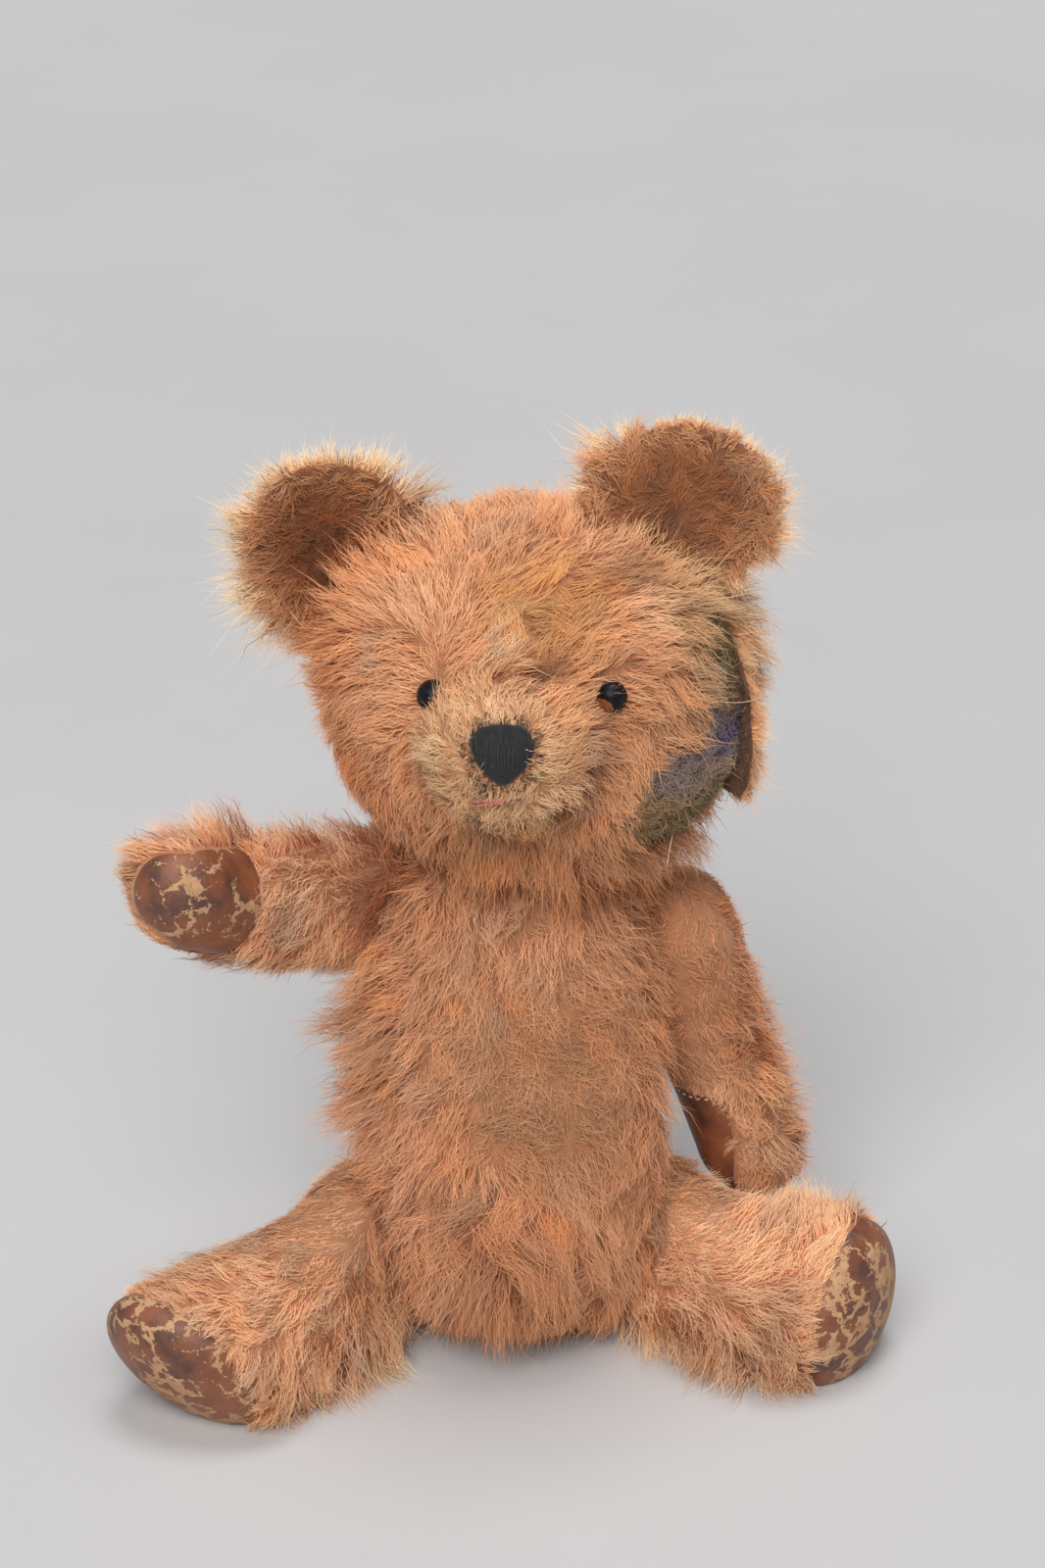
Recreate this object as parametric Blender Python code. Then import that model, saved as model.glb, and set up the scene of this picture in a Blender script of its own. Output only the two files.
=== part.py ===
"""Threadbare jointed teddy bear, sitting with its legs splayed and one arm lifted.

Metres, +Z up. The bear faces -Y and its own left side is at +X. The origin is on the flat that it sits
on, below the middle of the torso. Each plush body is a thin sewn cover round a solid of stuffing. The
head, arms and legs turn on hardboard discs, washers and a cotter pin.
"""

import math
from functools import partial

import bmesh
import bpy
import numpy as np
from mathutils import Matrix, Vector

MM = 0.001
GAP = 0.3 * MM  # clearance between pieces that touch
CLOTH = 2.0 * MM  # plush backing with the felted roots of its pile
RUNNING_GAP = 0.5 * MM  # between the two covers that meet at a joint

# Torso: a pear standing on its flat seat. Each station is height, half width, half depth and middle in Y.
TORSO_HEIGHT = 180 * MM
TORSO_STATIONS = ((0, 48, 45, -8), (50, 55, 47, -5), (100, 54, 44, 1), (145, 51, 39, 4), (190, 42, 33, 5))
TORSO_SEAT_CUT = 4 * MM
TORSO_NECK_CUT = 5 * MM
TORSO_ROUNDING = (38 * MM, 45 * MM)  # length of the rounding at the seat and at the neck
TORSO_GRID = (14, 20)

# Head: a rounded box of fur with a short, broad muzzle.
HEAD_CENTRE = Vector((6, 4, 236)) * MM
HEAD_TURN = math.radians(-5)
HEAD_ROLL = math.radians(-2)
HEAD_HALF = (69 * MM, 56 * MM, 58 * MM)
HEAD_ROUNDING = 2.4
MUZZLE_CENTRE = (-4 * MM, -52 * MM, 0)
MUZZLE_HALF = (27 * MM, 33 * MM, 25 * MM)
MUZZLE_BLEND = 8
HEAD_FINENESS = 4
STUFFING_FINENESS = 3
STUFFING_SLACK = 1.9 * MM  # the coarser stuffing stays this much further inside
HEAD_CROWDING = 0.35  # points gathered towards the muzzle

# Arm, in its own frame: the joint axis is X, pointing out of the body, and the arm hangs along -Z.
# Each station is the distance from the shoulder's top, half thickness, half width, middle X, middle Y.
ARM_TOP = 22 * MM
ARM_LENGTH = 130 * MM
ARM_STATIONS = (
    (0, 18, 21, 13, 0), (24, 19, 22, 14, 0), (62, 19, 20, 21, 1), (98, 18, 19, 31, -1), (130, 17, 18, 38, -5),
)
ARM_ROUNDING = (22 * MM, 15 * MM)
ARM_GRID = (14, 16)

# Leg, in its own frame: the joint axis is X, pointing out of the body, and the leg lies along -Y.
LEG_REAR = 27 * MM
LEG_LENGTH = 133 * MM
LEG_BEND = 46 * MM  # length of the arc past the hip that turns the leg outwards
LEG_STATIONS = (
    (0, 24, 26, 17, 0), (28, 25, 27, 17, 0), (66, 25, 26, 15, 0), (98, 26, 28, 16, 1), (133, 29, 33, 18, 3),
)
LEG_ROUNDING = (27 * MM, 18 * MM)
LEG_SLUMP = (10 * MM, 106 * MM)  # where past the hip the leg begins to twist and lean, and where it ends
LEG_SLACK = 0.15 * MM  # its stuffing stays this much further inside, because its faces are twisted
LEG_GRID = (14, 18)

# Joints: outward normal of the joint's discs, depth of the flat that it presses into the torso,
# and the limb's turn about that normal from hanging (arm) or lying forward (leg). A leg is bent outwards,
# twisted about its own middle towards the foot, leant at the sole and stretched.
SHOULDERS = {
    "right": {"point": (-37, 12, 147), "normal": (-0.80, 0.54, 0.16), "turn": -105},
    "left": {"point": (42.4, 4, 142), "normal": (0.98, 0.12, 0.05), "turn": 7},
}
HIPS = {
    "right": {"point": (-36, -13, 33), "normal": (-0.86, 0.40, -0.30), "turn": 1},
    "left": {"point": (30, -11, 32), "normal": (0.72, 0.60, -0.34), "turn": -2},
}
SLUMPS = {
    "right": {"bend": math.radians(18), "twist": math.radians(34), "lean": 0.41, "stretch": 11 * MM},
    "left": {"bend": math.radians(22), "twist": 0, "lean": 0, "stretch": -2 * MM},
}
NECK_POINT = Vector((0, 5 * MM, TORSO_HEIGHT))
DISC_RADIUS = {"neck": 14 * MM, "shoulder": 13.5 * MM, "hip": 16.5 * MM}
DISC_THICKNESS = 2.4 * MM
WASHER_RADIUS = 7 * MM
WASHER_THICKNESS = 1.0 * MM
PIN_WIRE = 0.6 * MM  # radius of the cotter pin's wire
PIN_SPREAD = 0.8 * MM  # from the joint axis to each of its two runs
PIN_HOLE = 2.0 * MM
PIN_EYE = 2.4 * MM
PIN_CURL = 2.6 * MM
DISC_SIDES = 16
WASHER_SIDES = 10
CURL_STEPS = 5
CURL_TURN = 180
EYE_STEPS = 6
EYE_START, EYE_TURN = -60, 300

# Trim, in the head's frame where nothing else is said. "facing" is where an ear's hollow side looks.
EAR_HALF = (31 * MM, 4.2 * MM, 27 * MM)
EARS = {
    "right": {"centre": (-68, 9, 47), "facing": (0.30, -0.93, 0.15), "roll": 48, "cup": 11 * MM},
    "left": {"centre": (48, 3, 61), "facing": (0.06, -0.93, 0.35), "roll": -18, "cup": 4 * MM},
}
EYES = {
    "right": {"centre": (-29, -53, 17), "facing": (-0.45, -0.85, 0.28)},
    "left": {"centre": (29, -53.5, 17), "facing": (0.45, -0.85, 0.28)},
}
EYE_RADIUS = 5.5 * MM
EYE_SHANK = 1.0 * MM
EYE_LENGTH = 18 * MM
STITCH_THICKNESS = 1.3 * MM
NOSE_SHAPE = ((-15, 13), (-12, 16.5), (4, 17), (6, 14), (6.5, 9), (3, 3), (-4, -1.5), (-11, 2), (-15, 7))
MOUTH_SHAPE = ((-16, -6.5), (-6, -3.8), (2, -4.5), (11, -3.6), (11, -5), (2, -6.3), (-6, -6), (-16, -8.5))
STITCH_DEPTHS = (-110 * MM, -56 * MM)
PAD_GAP = 0.35 * MM
PAW_PAD = (-74 * MM, 16 * MM, -110 * MM, -4 * MM)  # its wrist, half width, tip and middle in the arm's frame
PAW_PAD_SQUARENESS = 0.35  # share of its length that its straight sides take
PAW_PAD_DEPTHS = (-20 * MM, 36 * MM)
FOOT_PAD_MARGIN = 2.5 * MM  # left of the leg's full section round the sole
FOOT_PAD_SIDES = 18
FOOT_PAD_DEPTHS = (-6 * MM, 14 * MM)

# The torn left cheek, as (towards the back, up) round the direction that it opens in, and the flap of
# plush that the tear left hanging at its rear edge, from top to bottom.
TEAR_FACING = Vector((0.93, -0.37, 0)).normalized()
TEAR_SHAPE = (
    (-6, 31), (-11, 13), (-19, -2), (-29, -13), (-29, -32), (-22, -43), (-5, -45),
    (8, -36), (14, -20), (17, 0), (16, 18), (9, 32), (0, 37),
)
TEAR_DEPTHS = (30 * MM, 95 * MM)
FLAP_THICKNESS = 1.6 * MM
FLAP_REAR = -5 * MM
FLAP_BITE = 0.8 * MM  # how far its rear edge runs into the cover
FLAP_COLUMNS = (0, 0.35, 0.7, 1)
FLAP_DIRECTION = Vector((0.30, -0.954, 0))
# Each row of the flap is its height, how far it stands off the head, and its width.
FLAP_ROWS = (
    (22, 0, 7), (15, 0, 11), (8, 0, 14), (0, 0.3, 16), (-8, 1, 16), (-16, 2.5, 15), (-25, 5, 14), (-34, 8.5, 11),
)

COLOURS = {
    "plush": ((0.52, 0.27, 0.15), 0.95, 0.0),
    "ear_plush": ((0.42, 0.20, 0.10), 0.95, 0.0),
    "stuffing": ((0.33, 0.34, 0.33), 1.0, 0.0),
    "rexine": ((0.18, 0.07, 0.045), 0.6, 0.0),
    "hardboard": ((0.30, 0.19, 0.10), 0.8, 0.0),
    "steel": ((0.45, 0.44, 0.42), 0.35, 1.0),
    "black_thread": ((0.012, 0.012, 0.015), 0.8, 0.0),
    "pink_thread": ((0.55, 0.20, 0.17), 0.8, 0.0),
    "amber_glass": ((0.20, 0.06, 0.01), 0.08, 0.0),
}


# ---------------------------------------------------------------- scene and materials


def clear_scene():
    for obj in list(bpy.data.objects):
        bpy.data.objects.remove(obj, do_unlink=True)


def material(finish):
    found = bpy.data.materials.get(finish)
    if found:
        return found
    colour, roughness, metallic = COLOURS[finish]
    made = bpy.data.materials.new(finish)
    made.use_nodes = True
    shader = made.node_tree.nodes["Principled BSDF"]
    shader.inputs["Base Color"].default_value = (*colour, 1)
    shader.inputs["Roughness"].default_value = roughness
    shader.inputs["Metallic"].default_value = metallic
    made.diffuse_color = (*colour, 1)
    return made


def add_object(name, mesh_builder, finish=None, parent=None):
    """A named object from a bmesh. With no finish it is a hidden cutter."""
    mesh = bpy.data.meshes.new(name)
    mesh_builder.to_mesh(mesh)
    mesh_builder.free()
    obj = bpy.data.objects.new(name, mesh)
    bpy.context.scene.collection.objects.link(obj)
    if parent:
        obj.parent = parent
    if finish:
        mesh.materials.append(material(finish))
        mesh.shade_smooth()
        mesh.set_sharp_from_angle(angle=math.radians(40))
    else:
        hide(obj)
    return obj


def hide(obj):
    obj.hide_render = True
    obj.display_type = "WIRE"


def add_frame(name, matrix, parent=None):
    """An empty that stands on a joint's axis and carries the pieces that move with it."""
    empty = bpy.data.objects.new(name, None)
    bpy.context.scene.collection.objects.link(empty)
    empty.parent = parent
    empty.matrix_world = matrix
    return empty


def boolean(obj, operation, *others):
    for other in others:
        modifier = obj.modifiers.new(f"{operation.lower()}_{other.name}", "BOOLEAN")
        modifier.operation = operation
        modifier.object = other
        modifier.solver = "EXACT"


# ---------------------------------------------------------------- rounded bodies


def smooth_columns(stations, at):
    """Catmull-Rom through stations of (distance, value, ...), read at one distance."""
    table = np.array(stations, float) * MM
    index = int(np.clip(np.searchsorted(table[:, 0], at) - 1, 0, len(table) - 2))
    before, start = table[max(index - 1, 0)], table[index]
    end, after = table[index + 1], table[min(index + 2, len(table) - 1)]
    t = (at - start[0]) / (end[0] - start[0])
    curve = 2 * start + (end - before) * t + (2 * before - 5 * start + 4 * end - after) * t**2
    return ((curve + (3 * start - before - 3 * end + after) * t**3) / 2)[1:]


def end_share(along, length, rounding):
    """Share of the full section that is left near a body's rounded ends."""
    first, last = rounding
    near = min(along / first, 1)
    far = min((length - along) / last, 1)
    return math.sqrt(1 - (1 - near) ** 2) * math.sqrt(1 - (1 - far) ** 2)


def bent(side, bend, along, across, up):
    """A point of a bent leg, in its own frame, at a distance along from the hip axis.
    The centre line runs straight behind the axis, turns out in an arc, and runs straight on."""
    angle = bend * min(max(along / LEG_BEND, 0), 1)
    arc_radius = LEG_BEND / bend
    out = arc_radius * (1 - math.cos(angle)) + across * math.cos(angle)
    forward = arc_radius * math.sin(angle) - across * math.sin(angle)
    straight = along - LEG_BEND if along > LEG_BEND else min(along, 0)
    return Vector((side * (out + straight * math.sin(angle)), -forward - straight * math.cos(angle), up))


def slumped(side, slump, along, across, up):
    """A point of the leg as it lies: twisted and leant more and more towards the foot, and bent."""
    start, end = LEG_SLUMP
    share = min(max((along - start) / (end - start), 0), 1)
    share = share * share * (3 - 2 * share)
    rings = min(max(along + LEG_REAR, 0), LEG_LENGTH)
    _, _, middle_x, middle_z = smooth_columns(LEG_STATIONS, rings)
    twist = slump["twist"] * share
    x, z = across - middle_x, up - middle_z
    x, z = x * math.cos(twist) + z * math.sin(twist), z * math.cos(twist) - x * math.sin(twist)
    along += (slump["lean"] * z + slump["stretch"]) * share
    return bent(side, slump["bend"], along, middle_x + x, middle_z + z)


def lofted(length, rounding, grid, section, place):
    """A closed body of elliptical rings. section(along) gives two half sizes and the middle,
    and place(along, a, b) turns them into a point."""
    rings, sides = grid
    mesh = bmesh.new()
    rows = []
    for ring in range(rings + 1):
        along = length * (1 - math.cos(math.pi * ring / rings)) / 2
        half_a, half_b, middle_a, middle_b = section(along)
        share = end_share(along, length, rounding)
        if ring in (0, rings):
            rows.append([mesh.verts.new(place(along, middle_a, middle_b))])
            continue
        row = []
        for side in range(sides):
            angle = 2 * math.pi * side / sides
            a = middle_a + half_a * share * math.cos(angle)
            b = middle_b + half_b * share * math.sin(angle)
            row.append(mesh.verts.new(place(along, a, b)))
        rows.append(row)
    for lower, upper in zip(rows, rows[1:]):
        for side in range(sides):
            after = (side + 1) % sides
            corners = [lower[side % len(lower)], lower[after % len(lower)]]
            corners += [upper[after % len(upper)], upper[side % len(upper)]]
            mesh.faces.new(list(dict.fromkeys(corners)))
    outward(mesh)
    return mesh


def outward(mesh):
    bmesh.ops.recalc_face_normals(mesh, faces=mesh.faces)
    if mesh.calc_volume(signed=True) < 0:
        bmesh.ops.reverse_faces(mesh, faces=mesh.faces)
    mesh.normal_update()


def inset_surface(mesh, inset):
    """Every point moved inwards, with the faces kept parallel."""
    moves = []
    for vert in mesh.verts:
        spread = sum(vert.normal.dot(face.normal) for face in vert.link_faces) / len(vert.link_faces)
        moves.append(vert.normal * (-inset / max(spread, 0.5)))
    for vert, move in zip(mesh.verts, moves):
        vert.co += move


def press_flat(mesh, point, normal):
    """Cuts off what lies past a plane and closes the cut with one flat face."""
    geometry = mesh.verts[:] + mesh.edges[:] + mesh.faces[:]
    cut = bmesh.ops.bisect_plane(
        mesh, geom=geometry, dist=1e-7, plane_co=point, plane_no=normal, clear_outer=True
    )
    rim = [item for item in cut["geom_cut"] if isinstance(item, bmesh.types.BMEdge)]
    bmesh.ops.holes_fill(mesh, edges=rim, sides=0)


def surface(outline, flats, inset):
    """A body's surface at a depth under its outer face. outline() makes the outer face."""
    mesh = outline()
    inset_surface(mesh, inset)
    for point, normal in flats:
        press_flat(mesh, point - normal * inset, normal)
    outward(mesh)
    return mesh


def shell(outline, flats, outer, inner):
    """The space between two depths of the same body, as two nested surfaces."""
    mesh = surface(outline, flats, outer)
    inside = surface(outline, flats, inner)
    bmesh.ops.reverse_faces(inside, faces=inside.faces)
    spare = bpy.data.meshes.new("inside")
    inside.to_mesh(spare)
    inside.free()
    mesh.from_mesh(spare)
    bpy.data.meshes.remove(spare)
    return mesh


def stuffed_body(name, outline, flats, parent=None, core=None, slack=0):
    """The cover and the stuffing of one plush body, before its holes are cut.
    core is a coarser outline for the stuffing, which then lies further inside by its slack."""
    cover = add_object(f"{name}_cover", shell(outline, flats, 0, CLOTH), "plush", parent)
    filling = surface(core or outline, flats, CLOTH + GAP + slack)
    return cover, add_object(f"{name}_stuffing", filling, "stuffing", parent)


def torso_outline():
    def section(height):
        half_x, half_y, middle_y = smooth_columns(TORSO_STATIONS, height)
        return half_x, half_y, 0, middle_y

    lift = -TORSO_SEAT_CUT
    length = TORSO_HEIGHT + TORSO_SEAT_CUT + TORSO_NECK_CUT
    return lofted(length, TORSO_ROUNDING, TORSO_GRID, section, lambda z, x, y: (x, y, z + lift))


def reach(half_sizes, direction):
    """How far the rounded box of the skull goes along a direction from its middle."""
    total = sum((abs(d) / half) ** HEAD_ROUNDING for d, half in zip(direction, half_sizes))
    return total ** (-1 / HEAD_ROUNDING)


def muzzle_reach(direction):
    """How far the muzzle goes along a direction from the head's middle, or 0 where it is missed."""
    centre = np.array(MUZZLE_CENTRE) / MUZZLE_HALF
    ray = np.array(direction) / MUZZLE_HALF
    along, square = ray @ centre, ray @ ray
    inside = along**2 - square * (centre @ centre - 1)
    return (along + math.sqrt(inside)) / square if inside > 0 and along > 0 else 0


def head_outline(fineness=HEAD_FINENESS):
    mesh = bmesh.new()
    bmesh.ops.create_icosphere(mesh, subdivisions=fineness, radius=1)
    for vert in mesh.verts:
        direction = (vert.co + Vector((0, -HEAD_CROWDING, 0))).normalized()
        skull, muzzle = reach(HEAD_HALF, direction), muzzle_reach(direction)
        far = (skull**MUZZLE_BLEND + muzzle**MUZZLE_BLEND) ** (1 / MUZZLE_BLEND)
        vert.co = direction * far
    outward(mesh)
    return mesh


def arm_outline(side):
    def section(along):
        half_x, half_y, middle_x, middle_y = smooth_columns(ARM_STATIONS, along)
        return half_x, half_y, middle_x, middle_y

    def place(along, x, y):
        return side * x, y, ARM_TOP - along

    return lofted(ARM_LENGTH, ARM_ROUNDING, ARM_GRID, section, place)


def leg_outline(side, slump):
    def section(along):
        half_x, half_z, middle_x, middle_z = smooth_columns(LEG_STATIONS, along)
        return half_x, half_z, middle_x, middle_z

    def place(along, x, z):
        return slumped(side, slump, along - LEG_REAR, x, z)

    return lofted(LEG_LENGTH, LEG_ROUNDING, LEG_GRID, section, place)


# ---------------------------------------------------------------- joints


def turned_frame(origin, normal, turn, side):
    """A frame at origin whose X lies along the joint's outward normal (for a right limb, against it)."""
    out = Vector(normal).normalized() * side
    up = (Vector((0, 0, 1)) - out * out.z).normalized()
    back = up.cross(out)
    frame = Matrix((out, back, up)).transposed().to_4x4()
    return Matrix.Translation(origin) @ frame @ Matrix.Rotation(turn, 4, "X")


def limb_joint(kind, side, spec):
    """Where a limb's joint meets the torso: its point, outward normal and the limb's frame."""
    sign = -1 if side == "right" else 1
    normal = Vector(spec["normal"]).normalized()
    point = Vector(spec["point"]) * MM
    frame = turned_frame(point + normal * RUNNING_GAP, normal, math.radians(spec["turn"]), sign)
    joint = {"name": f"{side}_{kind}", "kind": kind, "point": point, "normal": normal, "frame": frame}
    return joint | {"sign": sign}


def ring(name, radius, low, high, finish, parent):
    """A flat ring about Z with the pin's hole through it."""
    mesh = bmesh.new()
    sides = DISC_SIDES if radius > WASHER_RADIUS else WASHER_SIDES
    for height in (low, high):
        for distance in (radius, PIN_HOLE):
            bmesh.ops.create_circle(
                mesh, segments=sides, radius=distance, matrix=Matrix.Translation((0, 0, height))
            )
    mesh.verts.ensure_lookup_table()
    rings = [mesh.verts[i * sides : (i + 1) * sides] for i in range(4)]
    for first, second in ((0, 2), (2, 3), (3, 1), (1, 0)):
        for i in range(sides):
            j = (i + 1) % sides
            mesh.faces.new((rings[first][i], rings[first][j], rings[second][j], rings[second][i]))
    outward(mesh)
    return add_object(name, mesh, finish, parent)


def cotter_pin(name, body_end, limb_end, parent):
    """One bent wire: a curl, a run out to the eye, the eye's loop, and back to the other curl."""
    points = []
    for step in range(CURL_STEPS, -1, -1):
        angle = math.radians(CURL_TURN * step / CURL_STEPS)
        across = PIN_SPREAD + PIN_CURL * (1 - math.cos(angle))
        points.append((across, 0, body_end - PIN_CURL * math.sin(angle)))
    for step in range(EYE_STEPS + 1):
        angle = math.radians(EYE_START + EYE_TURN * step / EYE_STEPS)
        points.append((PIN_EYE * math.cos(angle), 0, limb_end + PIN_EYE + PIN_EYE * math.sin(angle)))
    points += [(-across, 0, height) for across, _, height in points[CURL_STEPS::-1]]
    curve = bpy.data.curves.new(name, "CURVE")
    curve.dimensions = "3D"
    curve.bevel_depth = PIN_WIRE
    curve.bevel_resolution = 1
    curve.use_fill_caps = True
    curve.materials.append(material("steel"))
    spline = curve.splines.new("POLY")
    spline.points.add(len(points) - 1)
    for spot, point in zip(spline.points, points):
        spot.co = (*point, 1)
    obj = bpy.data.objects.new(name, curve)
    bpy.context.scene.collection.objects.link(obj)
    obj.parent = parent
    return obj


def rod(name, radius, low, high, frame, sides=16):
    """A hidden cylinder along a frame's Z."""
    mesh = bmesh.new()
    middle = Matrix.Translation((0, 0, (low + high) / 2))
    bmesh.ops.create_cone(
        mesh, cap_ends=True, segments=sides, radius1=radius, radius2=radius, depth=high - low, matrix=middle
    )
    mesh.transform(frame)
    return add_object(name, mesh)


def add_joint(joint, torso_parts, limb_parts):
    """The discs, washers and pin of one joint, and the room for them in the covers and stuffing."""
    axis = joint["normal"].to_track_quat("Z", "Y").to_matrix().to_4x4()
    base = Matrix.Translation(joint["point"]) @ axis
    hardware = add_frame(f"{joint['name']}_axis", base)
    name, radius = joint["name"], DISC_RADIUS[joint["kind"]]
    body_face, limb_face = -CLOTH - GAP, RUNNING_GAP + CLOTH + GAP
    stack = (
        ("disc", radius, DISC_THICKNESS, "hardboard"),
        ("washer", WASHER_RADIUS, WASHER_THICKNESS, "steel"),
    )
    for piece, size, thickness, finish in stack:
        ring(f"{name}_body_{piece}", size, body_face - thickness, body_face, finish, hardware)
        ring(f"{name}_limb_{piece}", size, limb_face, limb_face + thickness, finish, hardware)
        body_face -= thickness + GAP
        limb_face += thickness + GAP
    cotter_pin(f"{name}_cotter_pin", body_face - PIN_WIRE, limb_face + PIN_WIRE, hardware)

    hole = rod(f"{name}_hole", PIN_HOLE, -4 * MM, 4 * MM, base)
    deep = CLOTH + GAP + DISC_THICKNESS + GAP
    pin_room = deep + WASHER_THICKNESS + 2 * PIN_EYE + 2 * PIN_WIRE + 3 * GAP
    for parts, sign in ((torso_parts, -1), (limb_parts, 1)):
        offset = RUNNING_GAP if sign > 0 else 0
        ends = {"disc_room": (radius + GAP, deep), "pin_room": (WASHER_RADIUS + 2 * GAP, pin_room)}
        cover, filling = parts
        boolean(cover, "DIFFERENCE", hole)
        for room, (size, depth) in ends.items():
            low, high = sorted((0, sign * (depth + offset)))
            owner = "limb" if sign > 0 else "body"
            cutter = rod(f"{name}_{owner}_{room}", size, low, high, base, 20)
            boolean(filling, "DIFFERENCE", cutter)


# ---------------------------------------------------------------- pads and stitching


def prism(name, outline, low, high, frame, axis):
    """A hidden prism: an outline of (a, b) points in a frame, drawn out along X or Y."""
    mesh = bmesh.new()
    rows = []
    for depth in (low, high):
        points = [(depth, a, b) if axis == "X" else (a, depth, b) for a, b in outline]
        rows.append([mesh.verts.new(point) for point in points])
    mesh.faces.new(rows[0])
    mesh.faces.new(rows[1][::-1])
    for i in range(len(outline)):
        j = (i + 1) % len(outline)
        mesh.faces.new((rows[0][i], rows[1][i], rows[1][j], rows[0][j]))
    outward(mesh)
    mesh.transform(frame)
    return add_object(name, mesh)


def grown(outline, by):
    """An outline made larger by moving each point away from the middle."""
    points = np.array(outline, float)
    middle = points.mean(axis=0)
    lengths = np.linalg.norm(points - middle, axis=1, keepdims=True)
    return points + (points - middle) / lengths * by


def add_pad(name, cover, body, flats, outline, depths, frame, axis):
    """A pad let into a cover: the cover is cut round it, and it is the shell's own thickness."""
    low, high = sorted(depths)
    pad = add_object(name, shell(body, flats, 0, CLOTH), "rexine", cover.parent)
    boolean(pad, "INTERSECT", prism(f"{name}_outline", outline, low, high, frame, axis))
    opening = (f"{name}_opening", grown(outline, PAD_GAP), low - PAD_GAP, high + PAD_GAP, frame, axis)
    boolean(cover, "DIFFERENCE", prism(*opening))


def ellipse(half_a, half_b, middle_a, middle_b, count):
    angles = [2 * math.pi * (i + 0.5) / count for i in range(count)]
    return [(middle_a + half_a * math.cos(t), middle_b + half_b * math.sin(t)) for t in angles]


def paw_outline():
    """Straight across the wrist and round at the tip, as (y, z) in the arm's frame."""
    wrist, half_width, tip, middle = PAW_PAD
    points = [(middle - half_width, wrist), (middle + half_width, wrist)]
    for step in range(9):
        angle = math.pi * step / 8
        reach_down = (wrist - tip) * (PAW_PAD_SQUARENESS + (1 - PAW_PAD_SQUARENESS) * math.sin(angle))
        points.append((middle + half_width * math.cos(angle), wrist - reach_down))
    return points


# ---------------------------------------------------------------- bodies


def add_torso():
    seat = (Vector((0, 0, 0)), Vector((0, 0, -1)))
    neck = (Vector((0, 0, TORSO_HEIGHT)), Vector((0, 0, 1)))
    joints = [limb_joint("shoulder", side, spec) for side, spec in SHOULDERS.items()]
    joints += [limb_joint("hip", side, spec) for side, spec in HIPS.items()]
    flats = [seat, neck] + [(joint["point"], joint["normal"]) for joint in joints]
    return stuffed_body("torso", torso_outline, flats), joints


def add_limb(joint, torso_parts):
    side, sign = joint["name"].split("_")[0], joint["sign"]
    part = "arm" if joint["kind"] == "shoulder" else "leg"
    slump = SLUMPS[side]
    outline = partial(arm_outline, sign) if part == "arm" else partial(leg_outline, sign, slump)
    parent = add_frame(f"{side}_{part}", joint["frame"])
    flats = [(Vector((0, 0, 0)), Vector((-sign, 0, 0)))]
    if part == "leg":
        to_local = joint["frame"].inverted()
        ground = to_local @ Vector((0, 0, 0))
        flats.append((ground, (to_local.to_3x3() @ Vector((0, 0, -1))).normalized()))
    parts = stuffed_body(f"{side}_{part}", outline, flats, parent, slack=LEG_SLACK if part == "leg" else 0)
    add_joint(joint, torso_parts, parts)
    if part == "arm":
        depths = [sign * depth for depth in PAW_PAD_DEPTHS]
        add_pad(f"{side}_paw_pad", parts[0], outline, flats, paw_outline(), depths, parent.matrix_world, "X")
    else:
        half_x, half_z, middle_x, middle_z = smooth_columns(LEG_STATIONS, LEG_LENGTH)
        half_x, half_z = half_x - FOOT_PAD_MARGIN, half_z - FOOT_PAD_MARGIN
        shape = ellipse(half_x, half_z, 0, 0, FOOT_PAD_SIDES)
        middle = slumped(sign, slump, LEG_LENGTH - LEG_REAR, middle_x, middle_z)
        sole = parent.matrix_world @ Matrix.Translation(middle)
        sole = sole @ Matrix.Rotation(sign * slump["bend"], 4, "Z")
        sole = sole @ Matrix.Rotation(math.atan(slump["lean"]), 4, "X")
        sole = sole @ Matrix.Rotation(sign * slump["twist"], 4, "Y")
        add_pad(f"{side}_foot_pad", parts[0], outline, flats, shape, FOOT_PAD_DEPTHS, sole, "Y")


def add_head(torso_parts):
    frame = Matrix.Translation(HEAD_CENTRE) @ Matrix.Rotation(HEAD_TURN, 4, "Z")
    frame = frame @ Matrix.Rotation(HEAD_ROLL, 4, "Y")
    parent = add_frame("head", frame)
    up = frame.inverted().to_3x3() @ Vector((0, 0, 1))
    bottom = frame.inverted() @ Vector((HEAD_CENTRE.x, HEAD_CENTRE.y, TORSO_HEIGHT + RUNNING_GAP))
    flats = [(bottom, -up)]
    coarse_outline = partial(head_outline, STUFFING_FINENESS)
    parts = stuffed_body("head", head_outline, flats, parent, coarse_outline, STUFFING_SLACK)
    joint = {"name": "neck", "kind": "neck", "point": NECK_POINT, "normal": Vector((0, 0, 1))}
    add_joint(joint, torso_parts, parts)
    return parts, parent, flats


def aimed_frame(centre, facing, roll=0):
    """A frame whose -Y looks along facing, rolled about it."""
    turn = (-Vector(facing)).to_track_quat("Y", "Z").to_matrix().to_4x4()
    return Matrix.Translation(Vector(centre) * MM) @ turn @ Matrix.Rotation(math.radians(roll), 4, "Y")


def ear_mesh(cup):
    """A flat pillow with a round rim, cupped forwards."""
    mesh = bmesh.new()
    turned = Matrix.Rotation(math.pi / 2, 4, "X")
    bmesh.ops.create_uvsphere(mesh, u_segments=20, v_segments=9, radius=1, matrix=turned)
    for vert in mesh.verts:
        x, y, z = vert.co
        square = min(x * x + z * z, 1)
        fullness = math.copysign(math.sqrt(1 - square**2), y)
        vert.co = (x * EAR_HALF[0], fullness * EAR_HALF[1] - cup * square, z * EAR_HALF[2])
    outward(mesh)
    return mesh


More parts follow.
